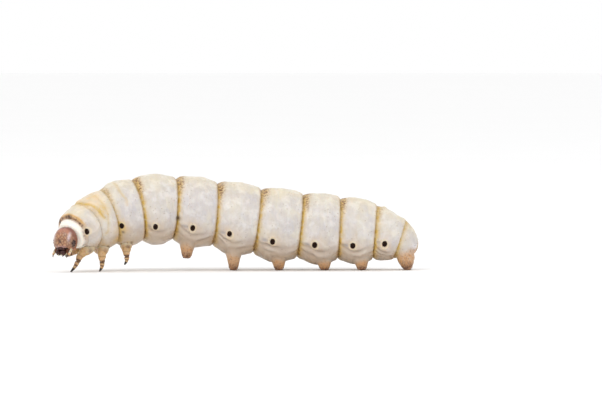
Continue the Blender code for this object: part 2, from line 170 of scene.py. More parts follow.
# Head: centre, turn, tilt and half sizes across, front to back and up; then its parts in its own
# directions (left, front, up)
HEAD_CENTRE = (-17.11, -7.41, 3.17)
HEAD_TURN = 60.0
HEAD_TILT = -4.0
HEAD_HALF = (1.27, 1.08, 1.41)
MOUTH_TOP = -0.62
MOUTH_HALF_WIDTH = 0.62
MOUTH_BACK = -0.45
LABRUM = ((0.0, 0.84, -0.86), (0.46, 0.32, 0.19))
MANDIBLE = ((0.25, 0.76, -1.22), (0.27, 0.38, 0.27))
LABIUM = ((0.0, 0.12, -1.12), (0.46, 0.46, 0.36))
FEELER_BASE = (0.86, 0.38, -0.96)
FEELER_KNEE = (0.92, 0.72, -1.36)
FEELER_TIP = (0.78, 1.02, -1.74)
PALPS = ((0.17, 0.96, -1.40, 0.20, 0.065), (0.52, 0.56, -1.22, 0.26, 0.085))
EYE_CENTRE = (0.93, 0.30, -0.19)
# each small eye: direction from the cheek's centre, distance as an angle, size
EYES = ((95, 0.20, 0.070), (45, 0.19, 0.075), (0, 0.18, 0.075), (-48, 0.19, 0.070), (-100, 0.21, 0.065),
        (175, 0.16, 0.060))

# Breathing pores: place along the body, angle from the back, half width, half height
RIGHT_PORE_SHIFT = 0.28
PORES = (
    (0.95, 84.0, 0.27, 0.33),
    (3.12, 111.0, 0.24, 0.30),
    (4.31, 119.0, 0.24, 0.31),
    (5.42, 118.5, 0.24, 0.31),
    (6.34, 118.0, 0.24, 0.31),
    (7.37, 118.5, 0.25, 0.32),
    (8.37, 119.0, 0.26, 0.33),
    (9.36, 119.0, 0.26, 0.32),
    (10.39, 111.5, 0.25, 0.32),
)

# Dark spots: place, angle from the back (left is positive), radius, strength
SPOTS = (
    (5.02, 107.0, 0.24, 1.0), (3.14, 125.0, 0.14, 0.8), (1.21, -56.0, 0.15, 0.9),
    (1.08, -2.0, 0.17, 1.0), (1.09, -14.0, 0.11, 0.7), (1.05, 156.0, 0.20, 0.95),
    (1.25, 152.0, 0.14, 0.8), (2.22, 156.0, 0.20, 0.9), (2.40, 153.0, 0.15, 0.8),
    (3.47, 153.0, 0.14, 0.7), (0.62, 140.0, 0.14, 0.7),
)
# Front edge of the collar: places and angles from the back (left is positive), all the way round
COLLAR_LINE = (
    (1.04, -175), (0.95, -150), (0.86, -118), (0.98, -85), (1.20, -57), (1.15, -36), (1.11, -14),
    (1.07, 0), (1.00, 22), (0.93, 49), (0.84, 68), (0.70, 84), (0.66, 104), (0.74, 130), (0.98, 156),
    (1.04, 175),
)
# Creases of the front lengths: share of the full depth, then places and angles down one side
FRONT_CREASES = (
    (1.0, ((2.09, 0), (2.09, 15), (2.14, 25), (2.21, 36), (2.24, 50), (2.27, 67), (2.32, 78))),
    (0.42, ((2.62, 30), (2.62, 54), (2.61, 68), (2.56, 78), (2.42, 93), (2.32, 107), (2.14, 114))),
    (0.45, ((3.44, 26), (3.44, 46), (3.49, 57), (3.54, 64), (3.50, 74))),
)
# Warm patches on both sides: place, angle, radius, strength
WARM_PATCHES = (
    (2.45, 62.0, 0.80, 1.0), (2.90, 142.0, 0.55, 0.8), (3.12, 114.0, 0.62, 1.0), (2.26, 153.0, 0.50, 0.8),
    (1.20, 150.0, 0.45, 0.7), (2.50, 14.0, 0.50, 0.6), (3.40, 155.0, 0.40, 0.7),
)

# Skin's grid: columns round the body, rows for each millimetre of it, and the place where it starts
SKIN_COLUMNS = 200
ROWS_PER_MM = 11.0
SKIN_START = 0.30
COLUMN_CROWDING = 0.144
# Groove and stain at each border from the head to the tail's end, as a share of the full strength
GROOVE_SHARE = (0, 0, 0.20, 0.42, 1, 1, 1, 1, 1, 1, 1, 0.7, 0)
STAIN_SHARE = (0, 0.2, 0.2, 0.35, 1, 1, 1, 1, 1, 0.9, 0.5, 0.25, 0)
# Heights, depths and widths of the relief of the back and the grooves, in millimetres
GROOVE_HALF_WIDTH = 0.16
GROOVE_ROLL = 0.05
FINE_LUMP = 0.006
WRINKLE_LENGTH = 0.42
# Dimples across the back of each length: share of the way along it, depth
DIMPLES = ((0.33, 0.024), (0.64, 0.020))
# Creases of the flank, below the pores and above the soft feet: shares of a length, angles in degrees
FLANK_LINES = (
    ((0.0, 0.08, 0.22, 0.40, 0.60, 0.80, 1.0), (120, 123, 128, 131, 130, 126, 124)),
    ((0.0, 0.08, 0.30, 0.55, 0.80, 1.0), (131, 134, 141, 144, 141, 135)),
)
# Heights, depths and widths of the flanks, the pores, the collar, the creases, the spots and the feet
UPPER_CREASE_WIDTH = 0.15
LOWER_CREASE_WIDTH = 0.17
LOWER_CREASE_SHARE = 0.75
FLANK_RIDGE = 0.055
FLANK_ROLL = 0.05
PORE_DIP = 0.10
PORE_RIM = 0.035
PORE_DENT = 0.06
PORE_STANDING = 0.17
HALO_RADIUS = 0.85
COLLAR_HEIGHT = 0.20
COLLAR_LENGTH = 0.7
COLLAR_FURROW = 0.08
CREASE_DEPTH = 0.10
CREASE_ROLL = 0.035
SPOT_DEPTH = 0.03
LEG_ROOT_HEIGHT = 0.30
LEG_ROOT_SPREAD = 0.62
LOBE_SPREAD = 1.25
WART_HEIGHT = 0.030

# Head: eyes' flatness, silk tube, lobes beside it, feelers, the brow's lines and its painted highlight
EYE_FLATNESS = 0.35
SILK_TUBE = ((0.0, 0.18, -1.36), (0.0, 0.34, -1.50), (0.0, 0.50, -1.58))
SIDE_LOBE = ((0.66, 0.36, -1.04), (0.33, 0.36, 0.31))
# Feeler: shares of its length and the radius there
FEELER_PROFILE = (
    (0.0, 0.30, 0.36, 0.62, 0.66, 0.90, 1.0), (0.20, 0.17, 0.135, 0.115, 0.065, 0.050, 0.02))
BROW_TOP = -0.10
BROW_SPREAD = 0.72
PAINTED_HIGHLIGHT_CENTRE = (0.665, 0.69, 0.30)
# Jointed legs: start and length of each swollen segment, as shares of the leg, and the legs' masks
LEG_SEGMENTS = ((0.22, 0.25), (0.47, 0.25), (0.72, 0.18))
LEG_MASKS = ("ring", "fold", "root", "tip", "blot")
# Rings of a pore, from the middle of its plate over the lip to its back: share of the radius, height
PORE_PROFILE = np.array((
    (0.02, -0.085), (0.15, -0.08), (0.30, -0.075), (0.45, -0.07), (0.58, -0.065), (0.66, -0.03),
    (0.72, 0.0), (0.78, 0.015), (0.85, 0.02), (0.92, 0.01), (0.97, -0.02), (1.0, -0.06), (1.0, -0.16),
    (0.7, -0.22), (0.1, -0.23),
))
# Bristles: angles of those of each length, lowest root, how many on tail and head, rings of each, the
# sag as a share of the length, and for the body and the tail least length, spread of length and radius
BRISTLE_ANGLES = (22, 60, 84, 128, 141, 152)
BRISTLE_LOWEST = 1.0
TAIL_BRISTLES = 11
HEAD_BRISTLES = 26
BRISTLE_RINGS = 6
BRISTLE_SAG = -0.25
BODY_BRISTLE = (0.20, 0.14, 0.010)
TAIL_BRISTLE = (0.16, 0.12, 0.014)
HEAD_BRISTLE_RADIUS = 0.009
# Sole hooks: ring's radius by the kind of foot, how many stand on it and over what arc (degrees), then
# the root's height over the sole, the drop, the bow, the curl inward and the radius of a hook
SOLE_RINGS = {"proleg": 0.34, "clasper": 0.32}
HOOK_COUNT = 17
HOOK_ARC = 330.0
HOOK_RISE = 0.11
HOOK_DROP = 0.09
HOOK_BOW = 0.05
HOOK_CURL = 0.06
HOOK_RADIUS = 0.022
# Direction that no tube runs along, from which its rings take their start
RING_GUIDE = np.array((0.13, 0.97, 0.21))

# Stage, in metres: half the floor's side and its level, then each lamp's name, place, size and share
# of the key light's power
FLOOR_HALF = 3.0
FLOOR_LEVEL = -0.00002
LAMPS = (("key", (-0.24, -0.34, 0.46), 0.22, 1.0), ("fill", (0.42, -0.30, 0.30), 0.40, 0.25))
LAMP_TARGET = (0.0, 0.0, 0.004)

# A short step for slopes, a distance beyond all others, and degrees in a radian
SMALL_STEP = 0.01
FAR = 1e9
DEGREES = 57.3


# What a user may change
def colour(name, description, red, green, blue):
    """Colour property with its own default."""
    return bpy.props.FloatVectorProperty(
        name=name, description=description, default=(red, green, blue), min=0.0, max=1.0, size=3,
        subtype="COLOR")


def number(name, description, default, low, high, **more):
    """Number property with its own default and limits."""
    return bpy.props.FloatProperty(
        name=name, description=description, default=default, min=low, max=high, **more)


class SilkwormSkinSettings(bpy.types.PropertyGroup):
    """Skin: relief in millimetres, and colours."""
    lump: number("Lumps", "Height of the soft lumps of the skin, in millimetres", 0.062, 0.0, 0.3)
    wrinkle: number("Wrinkles", "Height of the fine cross wrinkles, in millimetres", 0.016, 0.0, 0.1)
    crease: number("Creases", "Depth of the creases of the flank, in millimetres", 0.18, 0.0, 0.4)
    groove: number("Grooves", "Extra depth of grooves between lengths, in millimetres", 0.05, 0.0, 0.4)
    flesh: colour("Skin", "Main colour of the skin", 0.63, 0.575, 0.485)
    cream: colour("Cream", "Colour of the skin along the back", 0.72, 0.61, 0.37)
    lilac: colour("Shadow tint", "Cool tint of the flanks", 0.52, 0.49, 0.53)
    tan: colour("Low flank", "Colour of the low flank and the belly", 0.45, 0.32, 0.205)
    ochre: colour("Groove", "Colour of the skin beside the grooves", 0.61, 0.39, 0.055)
    brown: colour("Crease", "Colour in the bottom of the grooves", 0.22, 0.115, 0.018)
    foot: colour("Foot", "Colour of the soft feet", 0.54, 0.28, 0.105)


class SilkwormHeadSettings(bpy.types.PropertyGroup):
    """Head, mouthparts, legs and claws: colours."""
    shell: colour("Head shell", "Reddish brown of the head", 0.43, 0.145, 0.046)
    face: colour("Face", "Tan patches of the face", 0.47, 0.29, 0.155)
    horn: colour("Mouth", "Dark horn of the mouthparts", 0.030, 0.012, 0.012)
    amber: colour("Legs", "Clear amber of the jointed legs", 0.57, 0.36, 0.17)
    ring: colour("Leg rings", "Dark red-brown rings at the joints", 0.055, 0.012, 0.009)
    claw: colour("Claws", "Grey-black of the claw tips", 0.022, 0.018, 0.018)


class SilkwormStageSettings(bpy.types.PropertyGroup):
    """Floor, light and camera."""
    floor: colour("Floor", "Colour of the plain floor", 0.97, 0.97, 0.97)
    sky: number("Soft light", "Strength of the even light from all round", 1.0, 0.0, 10.0)
    key: number("Key light", "Power of the large soft lamp, in watts", 0.9, 0.0, 10.0)
    lens: number("Lens", "Focal length of the camera, in millimetres", 400.0, 50.0, 1000.0)
    distance: number("Distance", "Distance from the camera to the model", 0.677, 0.1, 5.0,
                     unit="LENGTH", subtype="DISTANCE")
    elevation: number("Elevation", "Height angle of the camera", math.radians(1.5), -math.pi, math.pi,
                      subtype="ANGLE")


# Curves and the body's surface
def spline(place, knots):
    """Natural cubic curve through knots at 0, 1, 2 and so on."""
    knots = np.asarray(knots, float)
    count = len(knots)
    beside = np.ones(count - 1)
    system = np.diag(np.full(count, 4.0)) + np.diag(beside, 1) + np.diag(beside, -1)
    system[[0, -1]] = 0.0
    system[0, 0] = system[-1, -1] = 1.0
    right = np.zeros_like(knots)
    right[1:-1] = 6.0 * (knots[:-2] - 2.0 * knots[1:-1] + knots[2:])
    bend = np.linalg.solve(system, right)
    i = np.clip(np.floor(place).astype(int), 0, count - 2)
    t = place - i
    if knots.ndim > 1:
        t = t[..., None]
    s = 1.0 - t
    return s * knots[i] + t * knots[i + 1] + ((s ** 3 - s) * bend[i] + (t ** 3 - t) * bend[i + 1]) / 6.0


def step(low, high, value):
    """Smooth step: 0 below low, 1 above high, three squares less two cubes between."""
    t = np.clip((value - low) / (high - low), 0.0, 1.0)
    return t * t * (3.0 - 2.0 * t)


def bump(distance, width):
    """Bell curve of a distance: e to the minus distance over width, squared."""
    return np.exp(-(distance / width) ** 2)


def soft_table(value, knots, results, width):
    """Straight pieces through a table, averaged over a short width so that no corner is left."""
    total = 0.0
    shifts = np.linspace(-width, width, 9)
    for shift in shifts:
        total = total + np.interp(value + shift, knots, results)
    return total / len(shifts)


def spine(place):
    """Centre, up and left directions of the body's ring at each place."""
    row = spline(place, BORDERS)
    turn = np.radians(row[..., 4])
    tilt = np.radians(row[..., 5])
    up = np.stack([-np.sin(tilt) * np.cos(turn), -np.sin(tilt) * np.sin(turn), np.cos(tilt)], -1)
    left = np.stack([np.sin(turn), -np.cos(turn), np.zeros_like(turn)], -1)
    return row[..., :3], up, left, row[..., 3]


def body_point(place, angle):
    """Point of the plain body.

    The radius is the ring's half height plus a swelling that follows an arch between two borders,
    which rises a little more slowly behind the front border than it drops to the rear one. The last
    border before the tail is filled by a bell curve. The swelling is blended from back to flank to
    belly by squares of cosine and sine, and the tail's radius ends in the root of one less a high
    power of the way along it.
    """
    place, angle = np.broadcast_arrays(np.asarray(place, float), np.asarray(angle, float))
    centre, up, left, half = spine(place)
    index = np.clip(np.floor(place).astype(int), 0, len(SWELLING) - 1)
    t = place - index
    swell = SWELLING[index]
    high = np.cos(angle)
    wide = np.sin(angle)
    amount = np.where(high > 0.0, swell[..., 0], swell[..., 2]) * high ** 2 + swell[..., 1] * wide ** 2
    steep = np.where(place > 3.0, np.where(t < 0.5, 0.80, 0.74), 0.55)
    arch = np.clip(1.0 - np.abs(2.0 * t - 1.0) ** ARCH_POWER, 0.0, 1.0) ** steep
    radius = half + amount * arch * 1.05 + TAIL_FILL * np.exp(-((place - 11.0) / 0.42) ** 2)
    tail = np.clip(place - (len(SWELLING) - 1), 0.0, 1.0)
    radius = radius * np.sqrt(np.clip(1.0 - tail ** TAIL_ROUNDING, 0.0, 1.0))
    return centre + up * (radius * high)[..., None] + left * (radius * WIDTH_RATIO * wide)[..., None]


def body_normal(place, angle):
    """Outward direction of the plain body, the cross product of the steps around and along it, and
    those two steps."""
    along = body_point(place + SMALL_STEP, angle) - body_point(place - SMALL_STEP, angle)
    around = body_point(place, angle + SMALL_STEP) - body_point(place, angle - SMALL_STEP)
    normal = unit(np.cross(around, along))
    outward = body_point(place, angle) - spine(np.asarray(place, float))[0]
    return normal * np.sign(np.sum(normal * outward, -1, keepdims=True)), along, around


def unit(vector):
    """Vector of length one."""
    vector = np.asarray(vector, float)
    return vector / np.maximum(np.linalg.norm(vector, axis=-1, keepdims=True), 1e-12)


def waves(points, count, short, long, seed):
    """Sum of seeded sines of the place in space, with wavelengths from short to long, about -1 to 1."""
    rng = np.random.default_rng(seed)
    directions = unit(rng.normal(size=(count, 3)))
    lengths = short * (long / short) ** rng.random(count)
    starts = rng.random(count) * 2.0 * math.pi
    total = np.zeros(points.shape[:-1])
    for direction, length, start in zip(directions, lengths, starts):
        total += np.sin(points @ direction * (2.0 * math.pi / length) + start) * (length / long) ** 0.5
    return total / math.sqrt(count)


def finer(line, count):
    """Smooth curve through a line's points, sampled evenly by knot."""
    line = np.asarray(line, float)
    return spline(np.linspace(0.0, len(line) - 1.000001, count), line)


# Meshes
def smooth_mesh(name, vertices, faces):
    """Smooth-shaded mesh from points in metres and faces as lists of corners."""
    mesh = bpy.data.meshes.new(name)
    mesh.from_pydata(vertices, [], faces)
    mesh.update()
    mesh.polygons.foreach_set("use_smooth", np.ones(len(mesh.polygons), bool))
    return mesh


def add_layer(mesh, key, values):
    """Attribute of a mesh's points: a number for each, or a vector where the values have three parts."""
    kind, field = ("FLOAT_VECTOR", "vector") if values.ndim == 2 else ("FLOAT", "value")
    mesh.attributes.new(key, kind, "POINT").data.foreach_set(field, values.ravel().astype(np.float32))


def rows_mesh(name, points, masks=None):
    """Closed mesh from a grid of points, rows by columns.

    The columns run round and are joined end to end; the first and the last row end in one point each,
    the mean of the row. The faces are turned outward by the sign of the volume.
    """
    points = np.asarray(points, float)
    rows, columns = points.shape[:2]
    ends = np.stack([points[0].mean(0), points[-1].mean(0)])
    vertices = np.concatenate([points.reshape(-1, 3), ends])
    vertices = (vertices - np.array((0.0, CENTRE_Y, 0.0))) * MM
    index = np.arange(rows * columns).reshape(rows, columns)
    ahead = np.roll(index, -1, 1)
    quads = np.stack([index[:-1], ahead[:-1], ahead[1:], index[1:]], -1).reshape(-1, 4)
    first = np.stack([np.full(columns, rows * columns), ahead[0], index[0]], -1)
    last = np.stack([np.full(columns, rows * columns + 1), index[-1], ahead[-1]], -1)
    triangles = np.concatenate([first, last])
    corners = np.concatenate([quads[:, [0, 1, 2]], quads[:, [0, 2, 3]], triangles])
    a, b, c = vertices[corners[:, 0]], vertices[corners[:, 1]], vertices[corners[:, 2]]
    middle = vertices.mean(0)
    if np.sum(np.cross(a - middle, b - middle) * (c - middle)) < 0.0:
        quads = quads[:, ::-1]
        triangles = triangles[:, ::-1]
    mesh = smooth_mesh(name, vertices.tolist(), quads.tolist() + triangles.tolist())
    for key, values in (masks or {}).items():
        values = np.asarray(values, float)
        flat = values.reshape((rows * columns,) + values.shape[2:])
        add_layer(mesh, key, np.concatenate([flat, [values[0].mean(0), values[-1].mean(0)]]))
    return mesh


def joined(name, parts, masks=()):
    """One mesh of several closed grids, each (points, values by name), their numbers set end to end."""
    vertices = []
    faces = []
    values = {key: [] for key in masks}
    start = 0
    for points, own in parts:
        mesh = rows_mesh("part", points, own)
        flat = np.empty(len(mesh.vertices) * 3)
        mesh.vertices.foreach_get("co", flat)
        vertices.append(flat.reshape(-1, 3))
        faces += [tuple(k + start for k in face.vertices) for face in mesh.polygons]
        for key in values:
            held = np.empty(len(mesh.vertices), np.float32)
            mesh.attributes[key].data.foreach_get("value", held)
            values[key].append(held)
        start += len(mesh.vertices)
        bpy.data.meshes.remove(mesh)
    whole = smooth_mesh(name, np.concatenate(vertices).tolist(), faces)
    for key, held in values.items():
        add_layer(whole, key, np.concatenate(held))
    return whole


def add_piece(name, mesh, material, nodes=()):
    """Object at the origin that rides with the model and stands for the solids it is named with."""
    mesh.materials.append(material)
    piece = bpy.data.objects.new(name, mesh)
    bpy.context.scene.collection.objects.link(piece)
    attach(piece, "root")
    if nodes:
        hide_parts(*nodes)
    return piece


# The skin
def skin_rows():
    """Places of the skin's rows: each length has its share of rows, closer together at its borders, and
    the tail's rows crowd towards its end."""
    lengths = np.linalg.norm(np.diff(BORDERS[:, :3], axis=0), axis=1)
    places = []
    for index, length in enumerate(lengths):
        count = int(round(length * ROWS_PER_MM)) + 6
        even = np.arange(count) / count
        if index == len(lengths) - 1:
            t = 1.0 - (1.0 - np.linspace(0.0, 0.995, count + 8)) ** 1.8
        else:
            t = 0.45 * even + 0.55 * (0.5 - 0.5 * np.cos(math.pi * even))
        places.append(index + t)
    places = np.concatenate(places)
    return places[places > SKIN_START]


def skin_angles():
    """Angles of the skin's columns, crowded a little towards the soft feet under both flanks."""
    even = np.arange(SKIN_COLUMNS) * 2.0 * math.pi / SKIN_COLUMNS
    return even - COLUMN_CROWDING * np.sin(2.0 * even) * step(0.3, -0.9, np.cos(even))


SHARED = {}


def whole_skin(settings):
    """The skin's grid, worked out once and kept for the pieces that stand on it."""
    if "skin" not in SHARED:
        SHARED["skin"] = skin_grid(settings)
    return SHARED["skin"]


def on_skin(settings, place, turned):
    """Point and outward direction of the finished skin at a place and an angle in degrees, from the
    nearest corner of its grid."""
    points = whole_skin(settings)[0]
    row = int(np.argmin(np.abs(skin_rows() - place)))
    offset = (skin_angles() - math.radians(turned) + math.pi) % (2.0 * math.pi) - math.pi
    column = int(np.argmin(np.abs(offset)))
    columns = points.shape[1]
    along = points[min(row + 2, len(points) - 1), column] - points[row - 2, column]
    around = points[row, (column + 2) % columns] - points[row, column - 2]
    normal = unit(np.cross(around, along))
    centre = spine(np.array([float(place)]))[0][0]
    if np.dot(normal, points[row, column] - centre) < 0.0:
        normal = -normal
    return points[row, column], normal


def soft_feet():
    """Soft feet and claspers, left then right: kind, side, place of the root, centre of the sole."""
    feet = []
    for side in (1.0, -1.0):
        for at, foot_x, level in PROLEGS:
            where = at if side > 0.0 else at + RIGHT_SHIFT
            middle = spine(np.array([where]))[0][0][1]
            feet.append(("proleg", side, where, (foot_x, middle - FOOT_SPREAD * side, level)))
        feet.append(("clasper", side, CLASPER_AT, (CLASPER_FOOT[0], -CLASPER_FOOT[1] * side, 0.0)))
    return feet


# For each kind: angle of the root, its half sizes, profile, limits of the masks for foot and for sole
FOOT_KINDS = {
    "proleg": (PROLEG_ANGLE, PROLEG_ROOT, FOOT_PROFILE, (0.74, 0.60), (0.54, 0.30)),
    "clasper": (CLASPER_ANGLE, CLASPER_ROOT, CLASPER_PROFILE, (0.95, 0.70), (0.62, 0.34)),
}


def foot_relief(field, root, sole, profile, skin_at):
    """Skin drawn down into a soft foot.

    In the root's oval, a point's share of the radius picks the height and the width of the foot from
    its profile, and its direction round the oval picks the side; inside the oval the foot's surface
    takes over from the skin by a smooth step. Gives the new points and the share of the radius.
    """
    at, turned, half_length, half_width = root
    _, along, around = body_normal(np.array([at]), np.array([turned]))
    along = along[0] / (2.0 * SMALL_STEP)
    around = around[0] / (2.0 * SMALL_STEP)
    reach_place = half_length / np.linalg.norm(along)
    reach_angle = half_width / np.linalg.norm(around)
    s = (field.place - at) / reach_place
    t = (field.angle - turned) / reach_angle
    share = np.hypot(s, t)
    near = share < 1.05
    direction = np.arctan2(t[near], s[near])
    radius = share[near]
    rim_place = np.minimum(at + reach_place * np.cos(direction), 11.96)
    rim = body_point(rim_place, turned + reach_angle * np.sin(direction))
    first = unit(along * np.array((1.0, 1.0, 0.0)))
    second = around * np.array((1.0, 1.0, 0.0))
    second = unit(second - first * np.dot(first, second))
    height = soft_table(radius, profile[:, 0], profile[:, 1], 0.035)
    spread = soft_table(radius, profile[:, 0], profile[:, 2], 0.035)
    half = soft_table(radius, profile[:, 0], profile[:, 3], 0.02)
    half = np.where(radius < 0.12, half * radius / 0.12, half)
    centre = np.array(sole, float)
    ring = np.cos(direction)[:, None] * first + np.sin(direction)[:, None] * second
    point = centre + (rim - centre) * spread[:, None] + ring * (half * (1.0 - spread))[:, None]
    point[:, 2] = sole[2] + (rim[:, 2] - sole[2]) * height * step(0.09, 0.17, radius)
    taken = step(1.02, 0.74, radius)[:, None]
    points = skin_at.copy()
    points[near] = skin_at[near] * (1.0 - taken) + point * taken
    return points, share


class SkinField:
    """Grid of the plain body and the measures that its relief is worked out from.

    place and turn are the grid's own steps, degrees is the turn from -180 to 180 and turned its size; t
    is the share of the way along a length. The scales are the millimetres of a step of one along and
    around. run is the length of the skin's own line, and behind the distance along it from the nearest
    border, positive to the rear.
    """

    def __init__(self):
        places = skin_rows()
        angles = skin_angles()
        last = len(SWELLING) - 1
        self.place = np.broadcast_to(places[:, None], (len(places), len(angles)))
        self.turn = np.broadcast_to(angles[None, :], self.place.shape)
        self.angle = np.where(self.turn > math.pi, self.turn - 2.0 * math.pi, self.turn)
        self.base = body_point(self.place, self.turn)
        self.normal, along, around = body_normal(self.place, self.turn)
        self.scale_along = np.linalg.norm(along, axis=-1) / (2.0 * SMALL_STEP)
        self.scale_around = np.linalg.norm(around, axis=-1) / (2.0 * SMALL_STEP)
        self.degrees = np.degrees(self.angle)
        self.turned = np.abs(self.degrees)
        self.index = np.clip(np.floor(self.place).astype(int), 0, last)
        self.t = self.place - self.index
        self.border = np.clip(np.round(self.place), 1, last).astype(int)
        steps = np.linalg.norm(np.diff(self.base, axis=0), axis=-1)
        self.run = np.concatenate([np.zeros((1, len(angles))), np.cumsum(steps, axis=0)])
        self.behind = np.full(self.place.shape, FAR)
        for border in range(1, last + 1):
            gap = self.run - self.run[int(np.argmin(np.abs(places - border)))]
            self.behind = np.where(np.abs(gap) < np.abs(self.behind), gap, self.behind)

    def zeros(self):
        """A value of 0 at each point."""
        return np.zeros(self.place.shape)

    def offsets(self, at, degrees, mirrored=False):
        """Millimetres along and around the skin from a place and an angle; mirrored counts each side."""
        turned = self.turned if mirrored else self.degrees
        return (self.place - at) * self.scale_along, (turned - degrees) / DEGREES * self.scale_around

    def reach(self, at, degrees, mirrored=False):
        """Distance on the skin from a place and an angle, in millimetres."""
        return np.hypot(*self.offsets(at, degrees, mirrored))

    def line_reach(self, line, count):
        """Distance from each point to a line drawn on the skin, and the part of it along the body."""
        best = np.full(self.place.shape, FAR)
        signed = self.zeros()
        for at, turned in finer(line, count):
            along = (self.place - at) * self.scale_along
            distance = np.hypot(along, (self.angle - math.radians(turned)) * self.scale_around)
            nearer = distance < best
            best = np.where(nearer, distance, best)
            signed = np.where(nearer, along, signed)
        return best, signed


def lump_relief(field, settings, soft):
    """Soft lumps, the finest lumps, fine cross wrinkles in seeded patches over the rear of each length,
    and two dimples across each back; all fade at the grooves."""
    place, t, high = field.place, field.t, np.cos(field.angle)
    away = step(0.05, 0.5, np.abs(field.behind)) * step(12.0, 11.8, place)
    lift = settings.lump * soft * (0.25 + 0.75 * away)
    lift += FINE_LUMP * waves(field.base, count=60, short=0.32, long=0.9, seed=12) * away
    rear = step(0.45, 0.8, t) * step(1.0, 0.93, t) + 0.55 * step(0.30, 0.12, t)
    bent = 0.5 * waves(field.base, count=18, short=1.6, long=4.0, seed=13)
    ripple = np.sin(2.0 * math.pi * (field.run / WRINKLE_LENGTH + bent))
    patch = step(-0.3, 0.6, waves(field.base, count=20, short=1.2, long=3.0, seed=14))
    belly = step(0.2, -0.9, high)
    lift += settings.wrinkle * ripple * rear * patch * step(3.2, 4.0, place) * (1.0 - belly * 0.6)
    back = step(-0.2, 0.5, high) * step(4.0, 4.3, place) * away
    for where, depth in DIMPLES:
        bent = where + 0.012 * np.sin(3.0 * field.angle + field.index)
        lift -= depth * bump((t - bent) * 4.0, 0.12) * back
    return lift


def groove_relief(field, settings):
    """Grooves between the lengths and a low roll ahead of each; gives the lift and the groove's share."""
    share = np.array(GROOVE_SHARE)[field.border]
    share = share + 0.4 * (field.border == 3) * step(80.0, 120.0, field.turned)
    off_roll = np.maximum(-field.behind - 0.28, 0.0) + np.maximum(field.behind + 0.1, 0.0)
    lift = -settings.groove * share * bump(field.behind, GROOVE_HALF_WIDTH)
    return lift + GROOVE_ROLL * share * bump(off_roll, 0.2), share


def flank_relief(field, settings):
    """Two swaying creases along each flank, the upper one with a ridge below it and a roll above."""
    place, t = field.place, field.t
    sway = 1.4 * np.sin(2.0 * math.pi * t * 1.4 + field.index * 1.9)
    sway = sway + 2.2 * waves(field.base, count=20, short=1.0, long=2.6, seed=16)
    broken = waves(field.base, count=22, short=1.1, long=2.8, seed=17)
    partial = 0.25 + 0.75 * step(-0.35, 0.45, broken)
    flank = step(3.9, 4.2, place) * step(11.0, 10.7, place)
    flank = flank * (0.35 + 0.65 * step(0.0, 0.15, t) * step(1.0, 0.9, t))
    off_upper, off_lower = (
        (field.turned - np.interp(t, *line) - sway) / DEGREES * field.scale_around
        for line in FLANK_LINES)
    upper = bump(off_upper, UPPER_CREASE_WIDTH) * flank * step(0.92, 0.45, t) * (0.5 + 0.5 * partial)
    lower = bump(off_lower, LOWER_CREASE_WIDTH) * flank * partial * np.where(field.index >= 5, 1.0, 0.6)
    ridge = bump(off_upper - 0.38, 0.26) * flank * partial
    lift = -settings.crease * (upper + LOWER_CREASE_SHARE * lower) + FLANK_RIDGE * ridge
    lift += FLANK_ROLL * bump(off_upper + 0.42, 0.28) * flank
    # the masks also set painted shade in the creases and a painted highlight on the ridge
    return lift, {"crease": upper + 0.9 * lower, "ridge": ridge}


def pore_relief(field):
    """Dip, rim and halo at each pore, and on the abdomen a dent ahead of it. Gives the lift, the masks
    and how near the first pore is, where the collar fades."""
    lift, dent, rim, halo = field.zeros(), field.zeros(), field.zeros(), field.zeros()
    for at, pore_angle, wide, high in PORES:
        dx, dy = field.offsets(at + right_shift(at) * (field.degrees < 0.0), pore_angle, mirrored=True)
        around_pore = np.hypot(dx / wide, dy / high)
        if at > 4.0:
            # the dent's mask also lays painted shadow, blue-grey, ahead of each pore
            dent += bump(np.hypot((dx + 0.78) / 1.3, (dy - 0.02) / 0.55), 0.30)
        rim += bump(around_pore - 1.36, 0.30)
        halo += bump(np.hypot(dx, dy), HALO_RADIUS)
        lift -= PORE_DIP * bump(around_pore, 0.85)
        if at < 1.0:
            first_pore = bump(np.hypot(dx, dy), 0.62)
    lift += PORE_RIM * rim - PORE_DENT * dent
    return lift, {"dent": dent, "rim": rim, "halo": halo}, first_pore


def right_shift(at):
    """The first pore stands further back on the right, where the front of the body is stretched."""
    return RIGHT_PORE_SHIFT if at < 1.0 else 0.0


def collar_relief(field, first_pore):
    """Collar: the thorax's front edge stands over the neck, with a furrow ahead of it."""
    reach, signed = field.line_reach(COLLAR_LINE, 140)
    behind = np.where(signed >= 0.0, reach, -reach)
    front = step(2.2, 1.6, field.place)
    share = front * (0.25 + 0.75 * step(118.0, 84.0, field.turned)) * (1.0 - 0.95 * first_pore)
    falling = np.exp(-np.maximum(behind, 0.0) / COLLAR_LENGTH)
    lift = share * COLLAR_HEIGHT * step(-0.10, 0.10, behind) * falling
    lift -= share * COLLAR_FURROW * bump(behind + 0.16, 0.13)
    return lift, {
        # collar: where painted shadow falls in the furrow under the overhanging front edge
        "collar": share * bump(behind + 0.05, 0.16),
        "lip": share * bump(behind - 0.20, 0.16),
        "neck": front * step(0.05, -0.15, behind),
    }


def front_relief(field):
    """Creases of the front lengths, the same on both sides, each between two low rolls."""
    lift, lines = field.zeros(), field.zeros()
    for depth, line in FRONT_CREASES:
        both = [(p, -a) for p, a in reversed(line) if a > 0] + list(line)
        distance = field.line_reach(both, 120)[0]
        lift -= CREASE_DEPTH * depth * bump(distance, 0.14)
        lift += CREASE_ROLL * depth * bump(distance - 0.40, 0.25)
        lines = np.maximum(lines, depth * bump(distance, 0.16))
    return lift, {"line": lines}


def patch_relief(field):
    """Dark spots, slightly sunken, and warm patches."""
    lift, spots, warm = field.zeros(), field.zeros(), field.zeros()
    for at, degrees, size, strength in SPOTS:
        near = bump(field.reach(at, degrees), size)
        spots = np.maximum(spots, strength * near ** 0.7)
        lift -= SPOT_DEPTH * strength * near
    for at, degrees, size, strength in WARM_PATCHES:
        warm = np.maximum(warm, strength * bump(field.reach(at, degrees, mirrored=True), size))
    return lift, {"spots": spots, "warm": warm}


